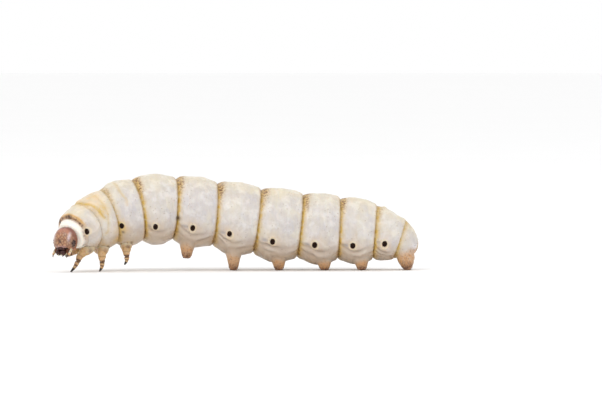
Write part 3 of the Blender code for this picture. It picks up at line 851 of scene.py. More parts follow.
def root_relief(field):
    """Knob on the back, swollen roots of the jointed legs and full lobes round those of the soft feet."""
    knob = np.hypot((field.place - KNOB_AT) * field.scale_along, field.angle * field.scale_around)
    lift = KNOB_HEIGHT * bump(knob, KNOB_SPREAD)
    roots = field.zeros()
    for _, at, degrees, *_ in LEGS:
        distance = field.reach(at, degrees)
        lift += LEG_ROOT_HEIGHT * bump(distance, LEG_ROOT_SPREAD)
        roots += bump(distance - 0.52, 0.14)
    for side in (1.0, -1.0):
        for at, _, _ in PROLEGS:
            lift += LOBE_HEIGHT * bump(field.reach(at, side * PROLEG_ANGLE), LOBE_SPREAD)
    return lift, {"knob": bump(knob, KNOB_SPREAD * 1.3), "roots": roots}


def skin_grid(settings):
    """Points of the whole skin and its masks.

    The plain body is lifted along its normals by soft seeded lumps, fine cross wrinkles, grooves between
    the lengths, two creases along each flank, dips and rims at the pores, the collar, the creases of the
    front lengths, sunken spots, the small knob, and full lobes round the roots of the legs; then the soft
    feet are drawn out of it. The masks tell the material where each of these is, and where the back, the
    low flank, the warm patches and the rear of each length are.
    """
    field = SkinField()
    place, t, turned, behind = field.place, field.t, field.turned, field.behind
    soft = waves(field.base, count=46, short=0.9, long=3.4, seed=11)
    lift = lump_relief(field, settings, soft)
    grooves, groove_share = groove_relief(field, settings)
    pores, masks, first_pore = pore_relief(field)
    lift += grooves + pores
    for more, own in (flank_relief(field, settings), collar_relief(field, first_pore),
                      front_relief(field), patch_relief(field), root_relief(field)):
        lift += more
        masks.update(own)
    points = field.base + field.normal * lift[..., None]

    foot = field.zeros()
    sole = field.zeros()
    for kind, side, at, target in soft_feet():
        degrees, half_sizes, profile, foot_limits, sole_limits = FOOT_KINDS[kind]
        root = (at, math.radians(degrees) * side) + half_sizes
        points, share = foot_relief(field, root, target, profile, points)
        foot = np.maximum(foot, step(*foot_limits, share))
        sole = np.maximum(sole, step(*sole_limits, share))
    warts = waves(points, count=70, short=0.13, long=0.30, seed=15)
    grain = foot * step(0.16, 0.30, points[..., 2])
    points = points + field.normal * (WART_HEIGHT * warts * grain)[..., None]
    points[..., 2] = np.maximum(points[..., 2], 0.0)

    notch_width = 0.46 - 0.0035 * np.minimum(turned, 90.0)
    notch = bump((place - field.border - 0.07) * 4.0, notch_width) * step(84.0, 22.0, turned + 9.0 * soft)
    notch = notch * np.array(STAIN_SHARE)[field.border]
    low_notch = bump(behind, 0.30) * step(118.0, 146.0, turned) * groove_share
    belly = step(0.2, -0.9, np.cos(field.angle))
    tail_rear = step(0.45, 0.95, place - 11.0 + 0.25 * belly) * step(60.0, 110.0, turned)
    beside = bump(np.maximum(behind, 0.0), 0.42) * step(-0.12, 0.0, behind) + 0.5 * bump(behind, 0.2)
    masks.update({
        "groove": groove_share * bump(behind, 0.12) * (0.65 + 0.35 * step(100, 140, turned)),
        "tint": groove_share * beside,
        "stain": notch + 0.8 * low_notch + step(11.90, 11.99, place),
        "back": step(75.0, 15.0, turned),
        "low": step(98.0, 150.0, turned) * step(0.8, 2.0, place),
        "foot": foot + 0.85 * tail_rear * step(88.0, 125.0, turned),
        "sole": sole,
        # rear: where painted shade darkens the rear slope of each length on the flanks
        "rear": (0.35 + 0.65 * step(0.45, 0.75, t)) * step(20.0, 55.0, turned),
        "thorax": step(3.3, 2.4, place) * step(70.0, 20.0, turned) * step(1.6, 2.2, place),
    })
    masks = {key: np.clip(values, 0.0, 1.0) for key, values in masks.items()}
    run = np.broadcast_to(field.run.mean(1)[:, None], place.shape)
    masks["flow"] = np.stack([run, 0.6 * np.cos(field.turn), 0.6 * np.sin(field.turn)], -1)
    return points, masks
# Shader helpers
def put(tree, kind, **values):
    """Node of a kind with its inputs set by name; a socket is linked and anything else is a value."""
    node = tree.nodes.new(kind)
    for name, value in values.items():
        fill(tree, node.inputs[name.replace("_", " ")], value)
    return node


def fill(tree, socket, value):
    """Links a socket to an input, or sets the input's own value."""
    if isinstance(value, bpy.types.NodeSocket):
        tree.links.new(value, socket)
    elif hasattr(socket.default_value, "__len__") and hasattr(value, "__len__"):
        held = list(value)
        socket.default_value = held + [1.0] * (len(socket.default_value) - len(held))
    else:
        socket.default_value = value


def blend_colours(tree, factor, first, second):
    """First colour where the factor is 0, second where it is 1."""
    node = tree.nodes.new("ShaderNodeMix")
    node.data_type = "RGBA"
    fill(tree, node.inputs[0], factor)
    fill(tree, node.inputs[6], first)
    fill(tree, node.inputs[7], second)
    return node.outputs[2]


def sums(tree, operation, first, second=0.5, third=0.0):
    """One arithmetic step, held between 0 and 1."""
    node = tree.nodes.new("ShaderNodeMath")
    node.operation = operation
    node.use_clamp = True
    for socket, value in zip(node.inputs, (first, second, third)):
        fill(tree, socket, value)
    return node.outputs[0]


def span(tree, value, low, high, bottom=0.0, top=1.0):
    """Value spread smoothly from a low and a high limit to a bottom and a top."""
    node = tree.nodes.new("ShaderNodeMapRange")
    node.interpolation_type = "SMOOTHSTEP"
    for socket, held in zip(node.inputs[:5], (value, low, high, bottom, top)):
        fill(tree, socket, held)
    return node.outputs[0]


def mask_of(tree, name):
    """The piece's own mask of that name."""
    node = tree.nodes.new("ShaderNodeAttribute")
    node.attribute_name = name
    return node.outputs["Fac"]


def masks_of(tree, *names):
    """Several of the piece's own masks, by name."""
    return {name: mask_of(tree, name) for name in names}


def millimetres(tree):
    """Object coordinates in millimetres."""
    where = tree.nodes.new("ShaderNodeTexCoord")
    scaled = tree.nodes.new("ShaderNodeMapping")
    scaled.inputs["Scale"].default_value = (1000.0, 1000.0, 1000.0)
    tree.links.new(where.outputs["Object"], scaled.inputs["Vector"])
    return scaled.outputs["Vector"]


def group_tree(name, output, **numbers):
    """Node group with a vector, named numbers and one output; gives it, its inputs and its result."""
    tree = bpy.data.node_groups.new(name, "ShaderNodeTree")
    tree.interface.new_socket("Vector", in_out="INPUT", socket_type="NodeSocketVector")
    for key, default in numbers.items():
        socket = tree.interface.new_socket(key, in_out="INPUT", socket_type="NodeSocketFloat")
        socket.default_value = default
    tree.interface.new_socket(output, in_out="OUTPUT", socket_type="NodeSocketFloat")
    given = tree.nodes.new("NodeGroupInput").outputs
    return tree, given, tree.nodes.new("NodeGroupOutput").inputs[0]


def soft_mottle():
    """Group: cloudy patches; a low-detail noise spread between two limits."""
    tree, given, result = group_tree("soft_mottle", "Mask", Scale=1.0, Low=0.4, High=0.6)
    noise = put(tree, "ShaderNodeTexNoise", Vector=given["Vector"], Scale=given["Scale"],
                Detail=3.0, Roughness=0.55, Distortion=0.3)
    tree.links.new(span(tree, noise.outputs[0], given["Low"], given["High"]), result)
    return tree


def fine_specks():
    """Group: scattered specks; the inside of small cells, kept where a slow noise is high."""
    tree, given, result = group_tree("fine_specks", "Mask", Scale=4.0, Size=0.25, Share=0.5)
    cells = put(tree, "ShaderNodeTexVoronoi", Vector=given["Vector"], Scale=given["Scale"])
    inside = span(tree, cells.outputs["Distance"], given["Size"], 0.0)
    slow = put(tree, "ShaderNodeTexNoise", Vector=given["Vector"], Scale=0.9, Detail=1.0)
    kept = span(tree, slow.outputs[0], given["Share"], sums(tree, "ADD", given["Share"], 0.08))
    tree.links.new(sums(tree, "MULTIPLY", inside, kept), result)
    return tree


def fine_grain():
    """Group: the finest relief; a fine noise and small cells, mixed by a share."""
    tree, given, result = group_tree("fine_grain", "Height", Scale=8.0, Cells=0.4)
    noise = put(tree, "ShaderNodeTexNoise", Vector=given["Vector"], Scale=given["Scale"],
                Detail=5.0, Roughness=0.6)
    cells = put(tree, "ShaderNodeTexVoronoi", Vector=given["Vector"], Scale=given["Scale"])
    mixed = tree.nodes.new("ShaderNodeMix")
    fill(tree, mixed.inputs[0], given["Cells"])
    fill(tree, mixed.inputs[2], noise.outputs[0])
    fill(tree, mixed.inputs[3], cells.outputs["Distance"])
    tree.links.new(mixed.outputs[0], result)
    return tree


GROUPS = {"soft_mottle": soft_mottle, "fine_specks": fine_specks, "fine_grain": fine_grain}


def effect(tree, name, **values):
    """One of the shared groups, made once, placed in a material with its own values; gives its output."""
    shared = bpy.data.node_groups.get(name) or GROUPS[name]()
    node = tree.nodes.new("ShaderNodeGroup")
    node.node_tree = shared
    for key, value in values.items():
        fill(tree, node.inputs[key], value)
    return node.outputs[0]


def mottle(tree, where, scale, low=0.38, high=0.62):
    """The shared cloudy patches at a scale, between two limits."""
    return effect(tree, "soft_mottle", Vector=where, Scale=scale, Low=low, High=high)


def cloudy(tree, noise, amount, least):
    """A share that a noise lifts by an amount from its least."""
    return sums(tree, "MULTIPLY_ADD", noise, amount, least)


def layered(tree, tone, rows):
    """Colours laid over a first one in order; each row is a colour and the factors of its share."""
    for new, share, *factors in rows:
        for factor in factors:
            share = sums(tree, "MULTIPLY", share, factor)
        tone = blend_colours(tree, share, tone, new)
    return tone


def start_material(name, roughness, radius=None, **constants):
    """Principled material with constants on its own sockets, the radius that of the light's spread below
    the surface; gives it, its tree and its shader."""
    material = bpy.data.materials.new(name)
    material.use_nodes = True
    tree = material.node_tree
    shader = tree.nodes["Principled BSDF"]
    shader.inputs["Roughness"].default_value = roughness
    if radius is not None:
        shader.inputs["Subsurface Radius"].default_value = radius
    for key, value in constants.items():
        shader.inputs[key.replace("_", " ")].default_value = value
    return material, tree, shader


def finish(tree, shader, tone, grain, roughness, height, strength, distance):
    """Links the colour, the roughness where the grain varies it between two values, and the bump from a
    height, whose distance is in metres."""
    tree.links.new(tone, shader.inputs["Base Color"])
    if roughness is not None:
        tree.links.new(span(tree, grain, 0.2, 0.8, *roughness), shader.inputs["Roughness"])
    node = put(tree, "ShaderNodeBump", Strength=strength, Distance=distance, Height=height)
    tree.links.new(node.outputs["Normal"], shader.inputs["Normal"])


def skin_material(settings):
    """Waxy cream skin: cloudy cream and lilac, ochre grooves with brown bottoms, tan belly and feet."""
    material, tree, shader = start_material(
        "skin_wax", roughness=0.38, radius=(1.0, 0.62, 0.40), Subsurface_Weight=0.22,
        Subsurface_Scale=0.0007, Specular_IOR_Level=0.5, Coat_Weight=0.18, Coat_Roughness=0.28)
    where = millimetres(tree)
    cloud = mottle(tree, where, 0.42, 0.36, 0.66)
    patch = mottle(tree, where, 1.1, 0.42, 0.66)
    small = mottle(tree, where, 2.6, 0.40, 0.62)
    veil = mottle(tree, where, 0.75, 0.40, 0.62)
    grit = mottle(tree, where, 5.0, 0.47, 0.56)
    specks = effect(tree, "fine_specks", Vector=where, Scale=3.0, Size=0.27, Share=0.47)
    dots = effect(tree, "fine_specks", Vector=where, Scale=5.2, Size=0.46, Share=0.30)
    grain = effect(tree, "fine_grain", Vector=where, Scale=7.0, Cells=0.35)
    flow = tree.nodes.new("ShaderNodeAttribute")
    flow.attribute_name = "flow"
    streak = mottle(tree, flow.outputs["Vector"], 2.6, 0.36, 0.64)
    thin = mottle(tree, flow.outputs["Vector"], 6.5, 0.36, 0.66)
    mask = masks_of(
        tree, "spots", "knob", "groove", "tint", "stain", "back", "low", "crease", "ridge", "dent", "rim",
        "halo", "collar", "lip", "neck", "line", "roots", "foot", "sole", "thorax", "rear", "warm")
    tone = layered(tree, settings.flesh, (
        (settings.lilac, cloud, 0.55),
        (settings.cream, mask["back"], cloudy(tree, patch, 0.45, 0.50)),
        # painted shade: cool lilac over the rear slope of each length
        (settings.lilac, veil, mask["rear"], 0.60),
        ((0.79, 0.76, 0.73), patch, 0.50),
        ((0.50, 0.44, 0.34), veil, small, 0.30),
        (settings.lilac, streak, 0.14),
        ((0.76, 0.72, 0.67), thin, 0.12),
        (settings.tan, mask["low"], cloudy(tree, cloud, 0.25, 0.62)),
        ((0.62, 0.42, 0.25), mask["halo"], cloudy(tree, small, 0.20, 0.30)),
        # painted highlight along the flank's ridge
        ((0.68, 0.62, 0.56), mask["ridge"], 0.35),
        # painted shade in the flank's creases
        ((0.30, 0.21, 0.15), mask["crease"], 0.60),
        # painted shadow: blue-grey in the dent ahead of each pore
        ((0.24, 0.23, 0.26), mask["dent"], 0.62),
        ((0.84, 0.70, 0.46), mask["rim"], 0.65),
        ((0.76, 0.52, 0.26), mask["thorax"], cloudy(tree, patch, 0.40, 0.25)),
        ((0.93, 0.87, 0.78), mask["neck"], 0.92),
        (settings.ochre, mask["tint"], cloudy(tree, small, 0.40, 0.58)),
        ((0.66, 0.44, 0.13), mask["warm"], cloudy(tree, small, 0.35, 0.45)),
        (settings.ochre, mask["line"], cloudy(tree, small, 0.30, 0.60)),
        ((0.66, 0.37, 0.09), mask["lip"], 0.90),
        ((0.54, 0.33, 0.08), mask["stain"], 0.85),
        (settings.foot, mask["foot"], cloudy(tree, small, 0.30, 0.62)),
        (settings.brown, mask["groove"], cloudy(tree, small, 0.45, 0.45)),
        ((0.17, 0.065, 0.014), mask["stain"], 1.25, grit),
        # painted shadow: brown band and dotted dark line in the furrow under the collar's overhanging
        # edge
        ((0.36, 0.17, 0.05), mask["collar"], 0.90),
        ((0.10, 0.040, 0.015), mask["collar"], grit, 0.85),
        ((0.14, 0.045, 0.015), mask["roots"], grit),
        ((0.14, 0.050, 0.020), mask["foot"], dots, 0.85),
        ((0.26, 0.105, 0.035), mask["sole"], 0.70),
        ((0.075, 0.028, 0.012), mask["sole"], grit, 0.85),
        ((0.30, 0.20, 0.12), specks, 0.65),
        ((0.62, 0.50, 0.14), mask["knob"], 0.8),
        ((0.045, 0.016, 0.006), mask["spots"], 0.95),
    ))
    folds = cloudy(tree, thin, 0.5, sums(tree, "MULTIPLY", streak, 0.5))
    height = cloudy(tree, grain, 0.25, sums(tree, "MULTIPLY", folds, 0.75))
    finish(tree, shader, tone, grain, (0.29, 0.48), height, strength=0.45, distance=0.00008)
    return material


# The head's own directions
def head_place(points):
    """Points given as left, front and up from the head's centre, in the model's directions."""
    turn = math.radians(HEAD_TURN)
    tilt = math.radians(HEAD_TILT)
    left = (math.sin(turn), -math.cos(turn), 0.0)
    front = (-math.cos(tilt) * math.cos(turn), -math.cos(tilt) * math.sin(turn), -math.sin(tilt))
    up = (-math.sin(tilt) * math.cos(turn), -math.sin(tilt) * math.sin(turn), math.cos(tilt))
    return np.array(HEAD_CENTRE) + np.asarray(points, float) @ np.array((left, front, up))


def ball(rows, columns):
    """Directions of a ball on a grid, from the top to the bottom point: sine and cosine of two angles."""
    down = (np.arange(rows) + 0.5) / rows * math.pi
    about = np.arange(columns) * 2.0 * math.pi / columns
    across = np.sin(down)[:, None] * np.sin(about)[None, :]
    front = np.sin(down)[:, None] * np.cos(about)[None, :]
    up = np.broadcast_to(np.cos(down)[:, None], across.shape)
    return np.stack([across, front, up], -1)


def shell_point(direction):
    """Point of the head shell, in millimetres from its centre.

    An ellipsoid with two low lobes, a groove between them on top, a slightly full brow and cheeks; the
    radius is held back where a line from the centre would pass the roof of the mouth. Gives too how far
    the mouth is open there, the distance to the lines of the brow, and how much it faces the front.
    """
    direction = unit(direction)
    across, front, up = direction[..., 0], direction[..., 1], direction[..., 2]
    size = 1.0 - 0.045 * bump(across, 0.14) * np.sqrt(np.clip(up, 0.0, 1.0))
    size = size - 0.018 * bump(across, 0.035) * step(-0.12, 0.1, up) * step(-0.75, -0.4, front)
    wide = HEAD_HALF[0] * (1.0 + 0.04 * np.clip(-up, 0.0, 1.0))
    deep = HEAD_HALF[1] * (1.0 + 0.06 * np.clip(front, 0.0, 1.0) * np.clip(-up, 0.0, 1.0))
    point = np.stack([across * wide * size, front * deep * size, up * HEAD_HALF[2] * size], -1)
    # the two lines of the brow, which meet below the top groove
    side = np.abs(point[..., 0])
    drop = BROW_TOP - point[..., 2]
    line = np.abs(side - BROW_SPREAD * drop) * step(-0.02, 0.06, drop) + 9.0 * (drop < -0.02)
    facing = step(0.25, 0.5, front)
    point = point * (1.0 - 0.022 * bump(line, 0.055) * facing)[..., None]
    inside = (side < BROW_SPREAD * drop) & (drop > 0.0)
    point = point * (1.0 + 0.010 * inside * facing * step(0.0, 0.2, BROW_SPREAD * drop - side))[..., None]
    # the roof of the mouth
    roof = MOUTH_TOP / np.minimum(up, -1e-6)
    hit = direction * roof[..., None]
    length = np.linalg.norm(point, axis=-1)
    gape = step(MOUTH_HALF_WIDTH + 0.05, MOUTH_HALF_WIDTH - 0.10, np.abs(hit[..., 0]))
    gape = gape * step(MOUTH_BACK - 0.05, MOUTH_BACK + 0.15, hit[..., 1]) * (up < -0.05)
    final = length * (1.0 - gape) + np.minimum(length, roof * 1.04) * gape
    return point * (final / length)[..., None], gape * step(0.99, 0.95, final / length), line, facing


def shell_grid():
    """Points and masks of the head shell, with fine seeded pits."""
    direction = ball(rows=150, columns=200)
    point, gape, line, facing = shell_point(direction)
    pits = waves(point, count=60, short=0.10, long=0.35, seed=31)
    broad = waves(point, count=30, short=0.5, long=1.4, seed=32)
    point = point * (1.0 + (0.0035 * pits + 0.006 * broad) * (1.0 - gape))[..., None]
    across, front, up = direction[..., 0], direction[..., 1], direction[..., 2]
    eye = unit(np.array(EYE_CENTRE))
    eyes = np.arccos(np.clip(np.abs(across) * eye[0] + front * eye[1] + up * eye[2], -1.0, 1.0))
    # direction of the painted highlight, a pale patch on each side of the brow standing in for the lamp's
    # reflection
    painted_highlight_direction = unit(np.array(PAINTED_HIGHLIGHT_CENTRE))
    painted_highlight = np.hypot((np.abs(across) - painted_highlight_direction[0]) / 0.10, (up - painted_highlight_direction[2]) / 0.34)
    middle = 0.35 * bump(across, 0.030) * step(-0.10, 0.0, up)
    behind = np.linalg.norm(head_place(point) - spine(np.array([0.35]))[0][0], axis=-1)
    face = step(0.05, 0.55, front + 0.25 * broad) * step(0.86, 0.35, up + 0.15 * broad)
    masks = {
        "face": face * step(-0.95, -0.7, up),
        "crown": step(0.35, 0.9, up),
        "edge": step(2.05, 1.45, behind) * (1.0 - step(0.3, 0.6, front)),
        "suture": np.clip(bump(line, 0.035) * facing + middle, 0, 1),
        "apex": bump(np.hypot(point[..., 0] / 0.13, (point[..., 2] + 0.13) / 0.16), 1.0) * facing,
        "clypeus": step(-0.30, -0.50, up) * facing * step(0.55, 0.35, np.abs(across)),
        "eyes": bump(eyes, 0.27),
        "painted_highlight": bump(painted_highlight, 1.0) * (front > 0.0),
        # mouth: the hollow of the mouth and the underside, which get painted shade
        "mouth": np.clip(gape + step(-0.86, -0.93, up), 0, 1),
    }
    return head_place(point), masks


def rounded_block(centre, half, rows, columns, square, change=None):
    """Rounded block in the head's directions: each coordinate of a ball raised to a power that squares
    it off, then sized, with an optional change made to the unit form."""
    form = ball(rows, columns)
    form = np.sign(form) * np.abs(form) ** square
    if change is not None:
        form = change(form)
    return head_place(form * np.array(half) + np.array(centre))


def swept(path, radii, columns=20):
    """Closed tube: a ring of each radius carried along a smooth path; the last rings close to points."""
    path = np.asarray(path, float)
    ahead = unit(np.gradient(path, axis=0))
    side = unit(np.cross(ahead, RING_GUIDE))
    other = np.cross(side, ahead)
    turns = np.arange(columns) * 2.0 * math.pi / columns
    ring = np.cos(turns)[None, :, None] * side[:, None] + np.sin(turns)[None, :, None] * other[:, None]
    return path[:, None] + np.asarray(radii, float)[:, None, None] * ring


def head_tube(line, radii, columns=16):
    """Tube swept in the head's own directions and then put in place."""
    return head_place(swept(line, radii, columns))


def along_path(points, count):
    """Evenly spaced places on the smooth curve through a few points."""
    fine = finer(points, count * 8)
    steps = np.concatenate([[0.0], np.cumsum(np.linalg.norm(np.diff(fine, axis=0), axis=1))])
    wanted = np.linspace(0.0, steps[-1], count)
    return np.stack([np.interp(wanted, steps, fine[:, k]) for k in range(3)], -1)


def leg_masks(count, columns, **given):
    """The leg material's masks on a tube: each given one spread round the rings, the others 0."""
    masks = {key: np.zeros((count, columns)) for key in LEG_MASKS}
    for key, values in given.items():
        masks[key] = np.repeat(np.asarray(values)[:, None], columns, 1)
    return masks


def leg_grid(row):
    """Fleshy part of a jointed leg: a swept ring from inside the skin to the claw, in three swollen
    segments with a fold between them. Gives points and masks."""
    label, at, leg_angle, path, halves, claw_path, _ = row
    count, columns = 72, 36
    place, angle = np.array([at]), np.array([math.radians(leg_angle)])
    start = body_point(place, angle)[0]
    inward = -body_normal(place, angle)[0][0]
    end = np.array(claw_path[0]) * 0.85 + np.array(path[1]) * 0.15
    line = along_path([start + inward * 0.30, start, np.array(path[0]), np.array(path[1]), end], count)
    s = np.linspace(0.0, 1.0, count)
    wide = np.interp(s, (0.0, 0.20, 0.34, 0.52, 0.86, 0.97, 1.0),
                     (0.66, 0.62, 0.54, halves[0] + 0.08, halves[1] + 0.03, halves[1] - 0.01, 0.16))
    folds = 0.7 * bump(s - 0.47, 0.030) + 0.8 * bump(s - 0.72, 0.024) + 0.8 * bump(s - 0.90, 0.016)
    swell = sum(np.sin(math.pi * np.clip((s - begin) / length, 0, 1)) for begin, length in LEG_SEGMENTS)
    points = swept(line, wide * (1.0 - 0.09 * folds + 0.045 * swell), columns)
    rough = 0.008 * waves(points, count=40, short=0.15, long=0.5, seed=41)
    points = points + unit(points - line[:, None]) * rough[..., None]
    masks = leg_masks(count, columns, ring=bump(s - 0.94, 0.050) + 0.35 * bump(s - 0.72, 0.018),
                      fold=np.clip(folds, 0, 1), root=step(0.52, 0.22, s))
    blot_at = start + np.array((0.16, -0.42 if label.endswith("left") else 0.42, -0.22))
    masks["blot"] = np.clip(bump(np.linalg.norm(points - blot_at, axis=-1), 0.24), 0, 1)
    return points, masks


def claw_grid(row):
    """Horny end of a leg: a swept ring that narrows through two joints to one curved claw. Gives points
    and masks."""
    claw_path, (first, second, last) = row[5], row[6]
    count, columns = 60, 28
    on_floor = claw_path[-1][2] <= 0.0
    line = along_path([np.array(p) for p in claw_path], count)
    s = np.linspace(0.0, 1.0, count)
    radii = np.interp(s, (0.0, 0.05, 0.32, 0.40, 0.46, 0.70, 0.92, 1.0),
                      (0.17, first, first * 0.92, first * 0.72, second * 0.98, second * 0.72, last,
                       0.055 if on_floor else 0.035))
    line = line + 0.10 * np.sin(math.pi * s)[:, None] * np.array((0.55, 0.30, 0.10))
    points = swept(line, radii, columns)
    if on_floor:
        points[..., 2] = np.maximum(points[..., 2], 0.0)
    ring = np.clip(bump(s - 0.03, 0.09) + bump(s - 0.39, 0.07), 0, 1)
    return points, leg_masks(count, columns, ring=ring, tip=step(0.56, 0.72, s))


def pore_grid(settings, at, pore_angle, wide, high):
    """Breathing pore on the skin: rings of a flat oval with a raised lip and a sunken plate with a slit.
    Gives points and masks."""
    columns = 40
    centre, normal = on_skin(settings, at, pore_angle)
    along = body_normal(np.array([at]), np.array([math.radians(pore_angle)]))[1][0]
    centre = centre + normal * PORE_STANDING
    first = unit(along - normal * np.dot(along, normal))
    second = unit(np.cross(normal, first))
    share, level = PORE_PROFILE[:, 0], PORE_PROFILE[:, 1]
    turns = np.arange(columns) * 2.0 * math.pi / columns
    aside = share[:, None] * np.cos(turns)[None, :]
    upward = share[:, None] * np.sin(turns)[None, :]
    plate = level > -0.1
    slats = 0.006 * np.cos(20.0 * turns)[None, :] * (bump(share - 0.42, 0.22) * plate)[:, None]
    slit = -0.03 * bump(aside, 0.10) * ((share < 0.5) & plate)[:, None]
    points = centre + (aside * wide)[..., None] * first + (upward * high)[..., None] * second
    points = points + (level[:, None] + slats + slit - 0.02)[..., None] * normal
    return points, {"lip": np.broadcast_to(bump(share - 0.84, 0.10)[:, None], (len(share), columns))}


def bristle_grid(root, direction, length, width):
    """Bristle: a thin ring carried along a short line that sags, and narrowed to its tip."""
    s = np.linspace(0.0, 1.0, BRISTLE_RINGS)
    line = np.asarray(root) + s[:, None] * length * np.asarray(direction)
    line = line + (s ** 2)[:, None] * length * np.array((0.0, 0.0, BRISTLE_SAG))
    return swept(line, width * (1.0 - 0.85 * s), 5)
# Finishes of the hard pieces
def shell_material(settings):
    """Head shell: reddish brown with a tan network on the face, dark seams and a painted highlight on the
    brow.
    """
    material, tree, shader = start_material(
        "head_shell", roughness=0.30, Coat_Weight=0.25, Coat_Roughness=0.22, 
        Subsurface_Weight=0.06, Subsurface_Scale=0.0004)
    where = millimetres(tree)
    mask = masks_of(tree, "face", "crown", "edge", "suture", "apex", "clypeus", "eyes", "painted_highlight", "mouth")
    cells = put(tree, "ShaderNodeTexVoronoi", Vector=where, Scale=3.3)
    cells.feature = "DISTANCE_TO_EDGE"
    net = span(tree, cells.outputs["Distance"], 0.02, 0.16)
    patch = mottle(tree, where, 2.4)
    tone = layered(tree, settings.shell, (
        ((0.42, 0.20, 0.14), mottle(tree, where, 6.0, 0.40), 0.45),
        (settings.face, mask["face"], net, cloudy(tree, patch, 0.45, 0.50)),
        ((0.11, 0.038, 0.018), mask["face"], sums(tree, "SUBTRACT", 1.0, net), 0.80),
        ((0.20, 0.075, 0.035), mask["face"], patch, 0.40),
        ((0.42, 0.19, 0.15), mask["crown"], 0.60),
        # painted highlight: pale lilac-white on each side of the brow, where the lamp's reflection falls
        ((0.80, 0.70, 0.76), mask["painted_highlight"], 0.60),
        ((0.46, 0.27, 0.26), mask["clypeus"], 0.70),
        ((0.16, 0.040, 0.020), mask["edge"], 0.85),
        ((0.09, 0.030, 0.016), mask["suture"], 0.60),
        ((0.035, 0.012, 0.008), mask["apex"], 0.95),
        ((0.032, 0.008, 0.006), mask["eyes"], 1.3, 0.97),
        # painted shade: near black in the mouth's hollow and under the head
        ((0.015, 0.007, 0.007), mask["mouth"]),
    ))
    grain = effect(tree, "fine_grain", Vector=where, Scale=12.0, Cells=0.5)
    finish(tree, shader, tone, grain, (0.26, 0.46), grain, strength=0.25, distance=0.00004)
    return material


def horn_material(name, first, second, roughness):
    """Polished horn: one colour clouded with another, finely pitted."""
    material, tree, shader = start_material(
        name, roughness, Specular_IOR_Level=0.16, Coat_Weight=0.10, Coat_Roughness=0.15)
    where = millimetres(tree)
    tone = blend_colours(tree, mottle(tree, where, 5.0, 0.38, 0.64), first, second)
    grain = effect(tree, "fine_grain", Vector=where, Scale=18.0, Cells=0.4)
    limits = (roughness - 0.06, roughness + 0.14)
    finish(tree, shader, tone, grain, limits, grain, strength=0.2, distance=0.00003)
    return material


def leg_material(settings):
    """Clear amber: paler at the root, brown folds, dark red-brown rings and a grey-black tip."""
    material, tree, shader = start_material(
        "leg_amber", roughness=0.32, radius=(1.0, 0.45, 0.18), Specular_IOR_Level=0.28,
        Subsurface_Weight=0.35, Subsurface_Scale=0.0005, Coat_Weight=0.12, Coat_Roughness=0.18)
    where = millimetres(tree)
    mask = masks_of(tree, *LEG_MASKS)
    dots = effect(tree, "fine_specks", Vector=where, Scale=6.0, Size=0.40, Share=0.40)
    tone = layered(tree, settings.amber, (
        ((0.62, 0.44, 0.26), mottle(tree, where, 3.5), 0.60),
        ((0.62, 0.52, 0.36), mask["root"], 0.90),
        ((0.20, 0.07, 0.025), dots, 0.55),
        ((0.34, 0.18, 0.07), mask["fold"], 0.28),
        ((0.10, 0.022, 0.012), mask["blot"], 0.90),
        (settings.ring, mask["ring"], 0.95),
        (settings.claw, mask["tip"]),
    ))
    grain = effect(tree, "fine_grain", Vector=where, Scale=12.0, Cells=0.3)
    finish(tree, shader, tone, grain, (0.26, 0.44), grain, strength=0.2, distance=0.00003)
    return material


def pore_material():
    """Breathing pores: black-brown plate with a browner lip."""
    material, tree, shader = start_material("pore_plate", roughness=0.62, Specular_IOR_Level=0.12)
    where = millimetres(tree)
    tone = layered(tree, (0.012, 0.005, 0.003), (
        ((0.024, 0.009, 0.004), mottle(tree, where, 7.0)),
        ((0.045, 0.018, 0.007), mask_of(tree, "lip"), 0.60),
    ))
    grain = effect(tree, "fine_grain", Vector=where, Scale=22.0, Cells=0.7)
    finish(tree, shader, tone, grain, None, grain, strength=0.3, distance=0.00003)
    return material


# Operators
SIDES = ((1.0, "left"), (-1.0, "right"))


class SILKWORM_OT_skin(bpy.types.Operator):
    """One continuous skin over the neck, the body, the tail and the soft feet"""
    bl_idname = "silkworm.skin"
    bl_label = "Skin"

    def execute(self, context):
        settings = context.scene.silkworm_skin
        points, masks = whole_skin(settings)
        add_piece("skin", rows_mesh("skin", points, masks), skin_material(settings), SKIN_NODES)
        return {"FINISHED"}


class SILKWORM_OT_pores(bpy.types.Operator):
    """Breathing pores along both flanks"""
    bl_idname = "silkworm.pores"
    bl_label = "Breathing pores"

    def execute(self, context):
        settings = context.scene.silkworm_skin
        parts = []
        for at, turned, wide, high in PORES:
            parts.append(pore_grid(settings, at, turned, wide, high))
            parts.append(pore_grid(settings, at + right_shift(at), -turned, wide, high))
        add_piece("pores", joined("pores", parts, ("lip",)), pore_material())
        return {"FINISHED"}


class SILKWORM_OT_head(bpy.types.Operator):
    """Head shell with its lobes, seams and mottled face"""
    bl_idname = "silkworm.head"
    bl_label = "Head shell"

    def execute(self, context):
        mesh = rows_mesh("head_shell", *shell_grid())
        material = shell_material(context.scene.silkworm_head)
        add_piece("head_shell", mesh, material, ("head_capsule",))
        return {"FINISHED"}


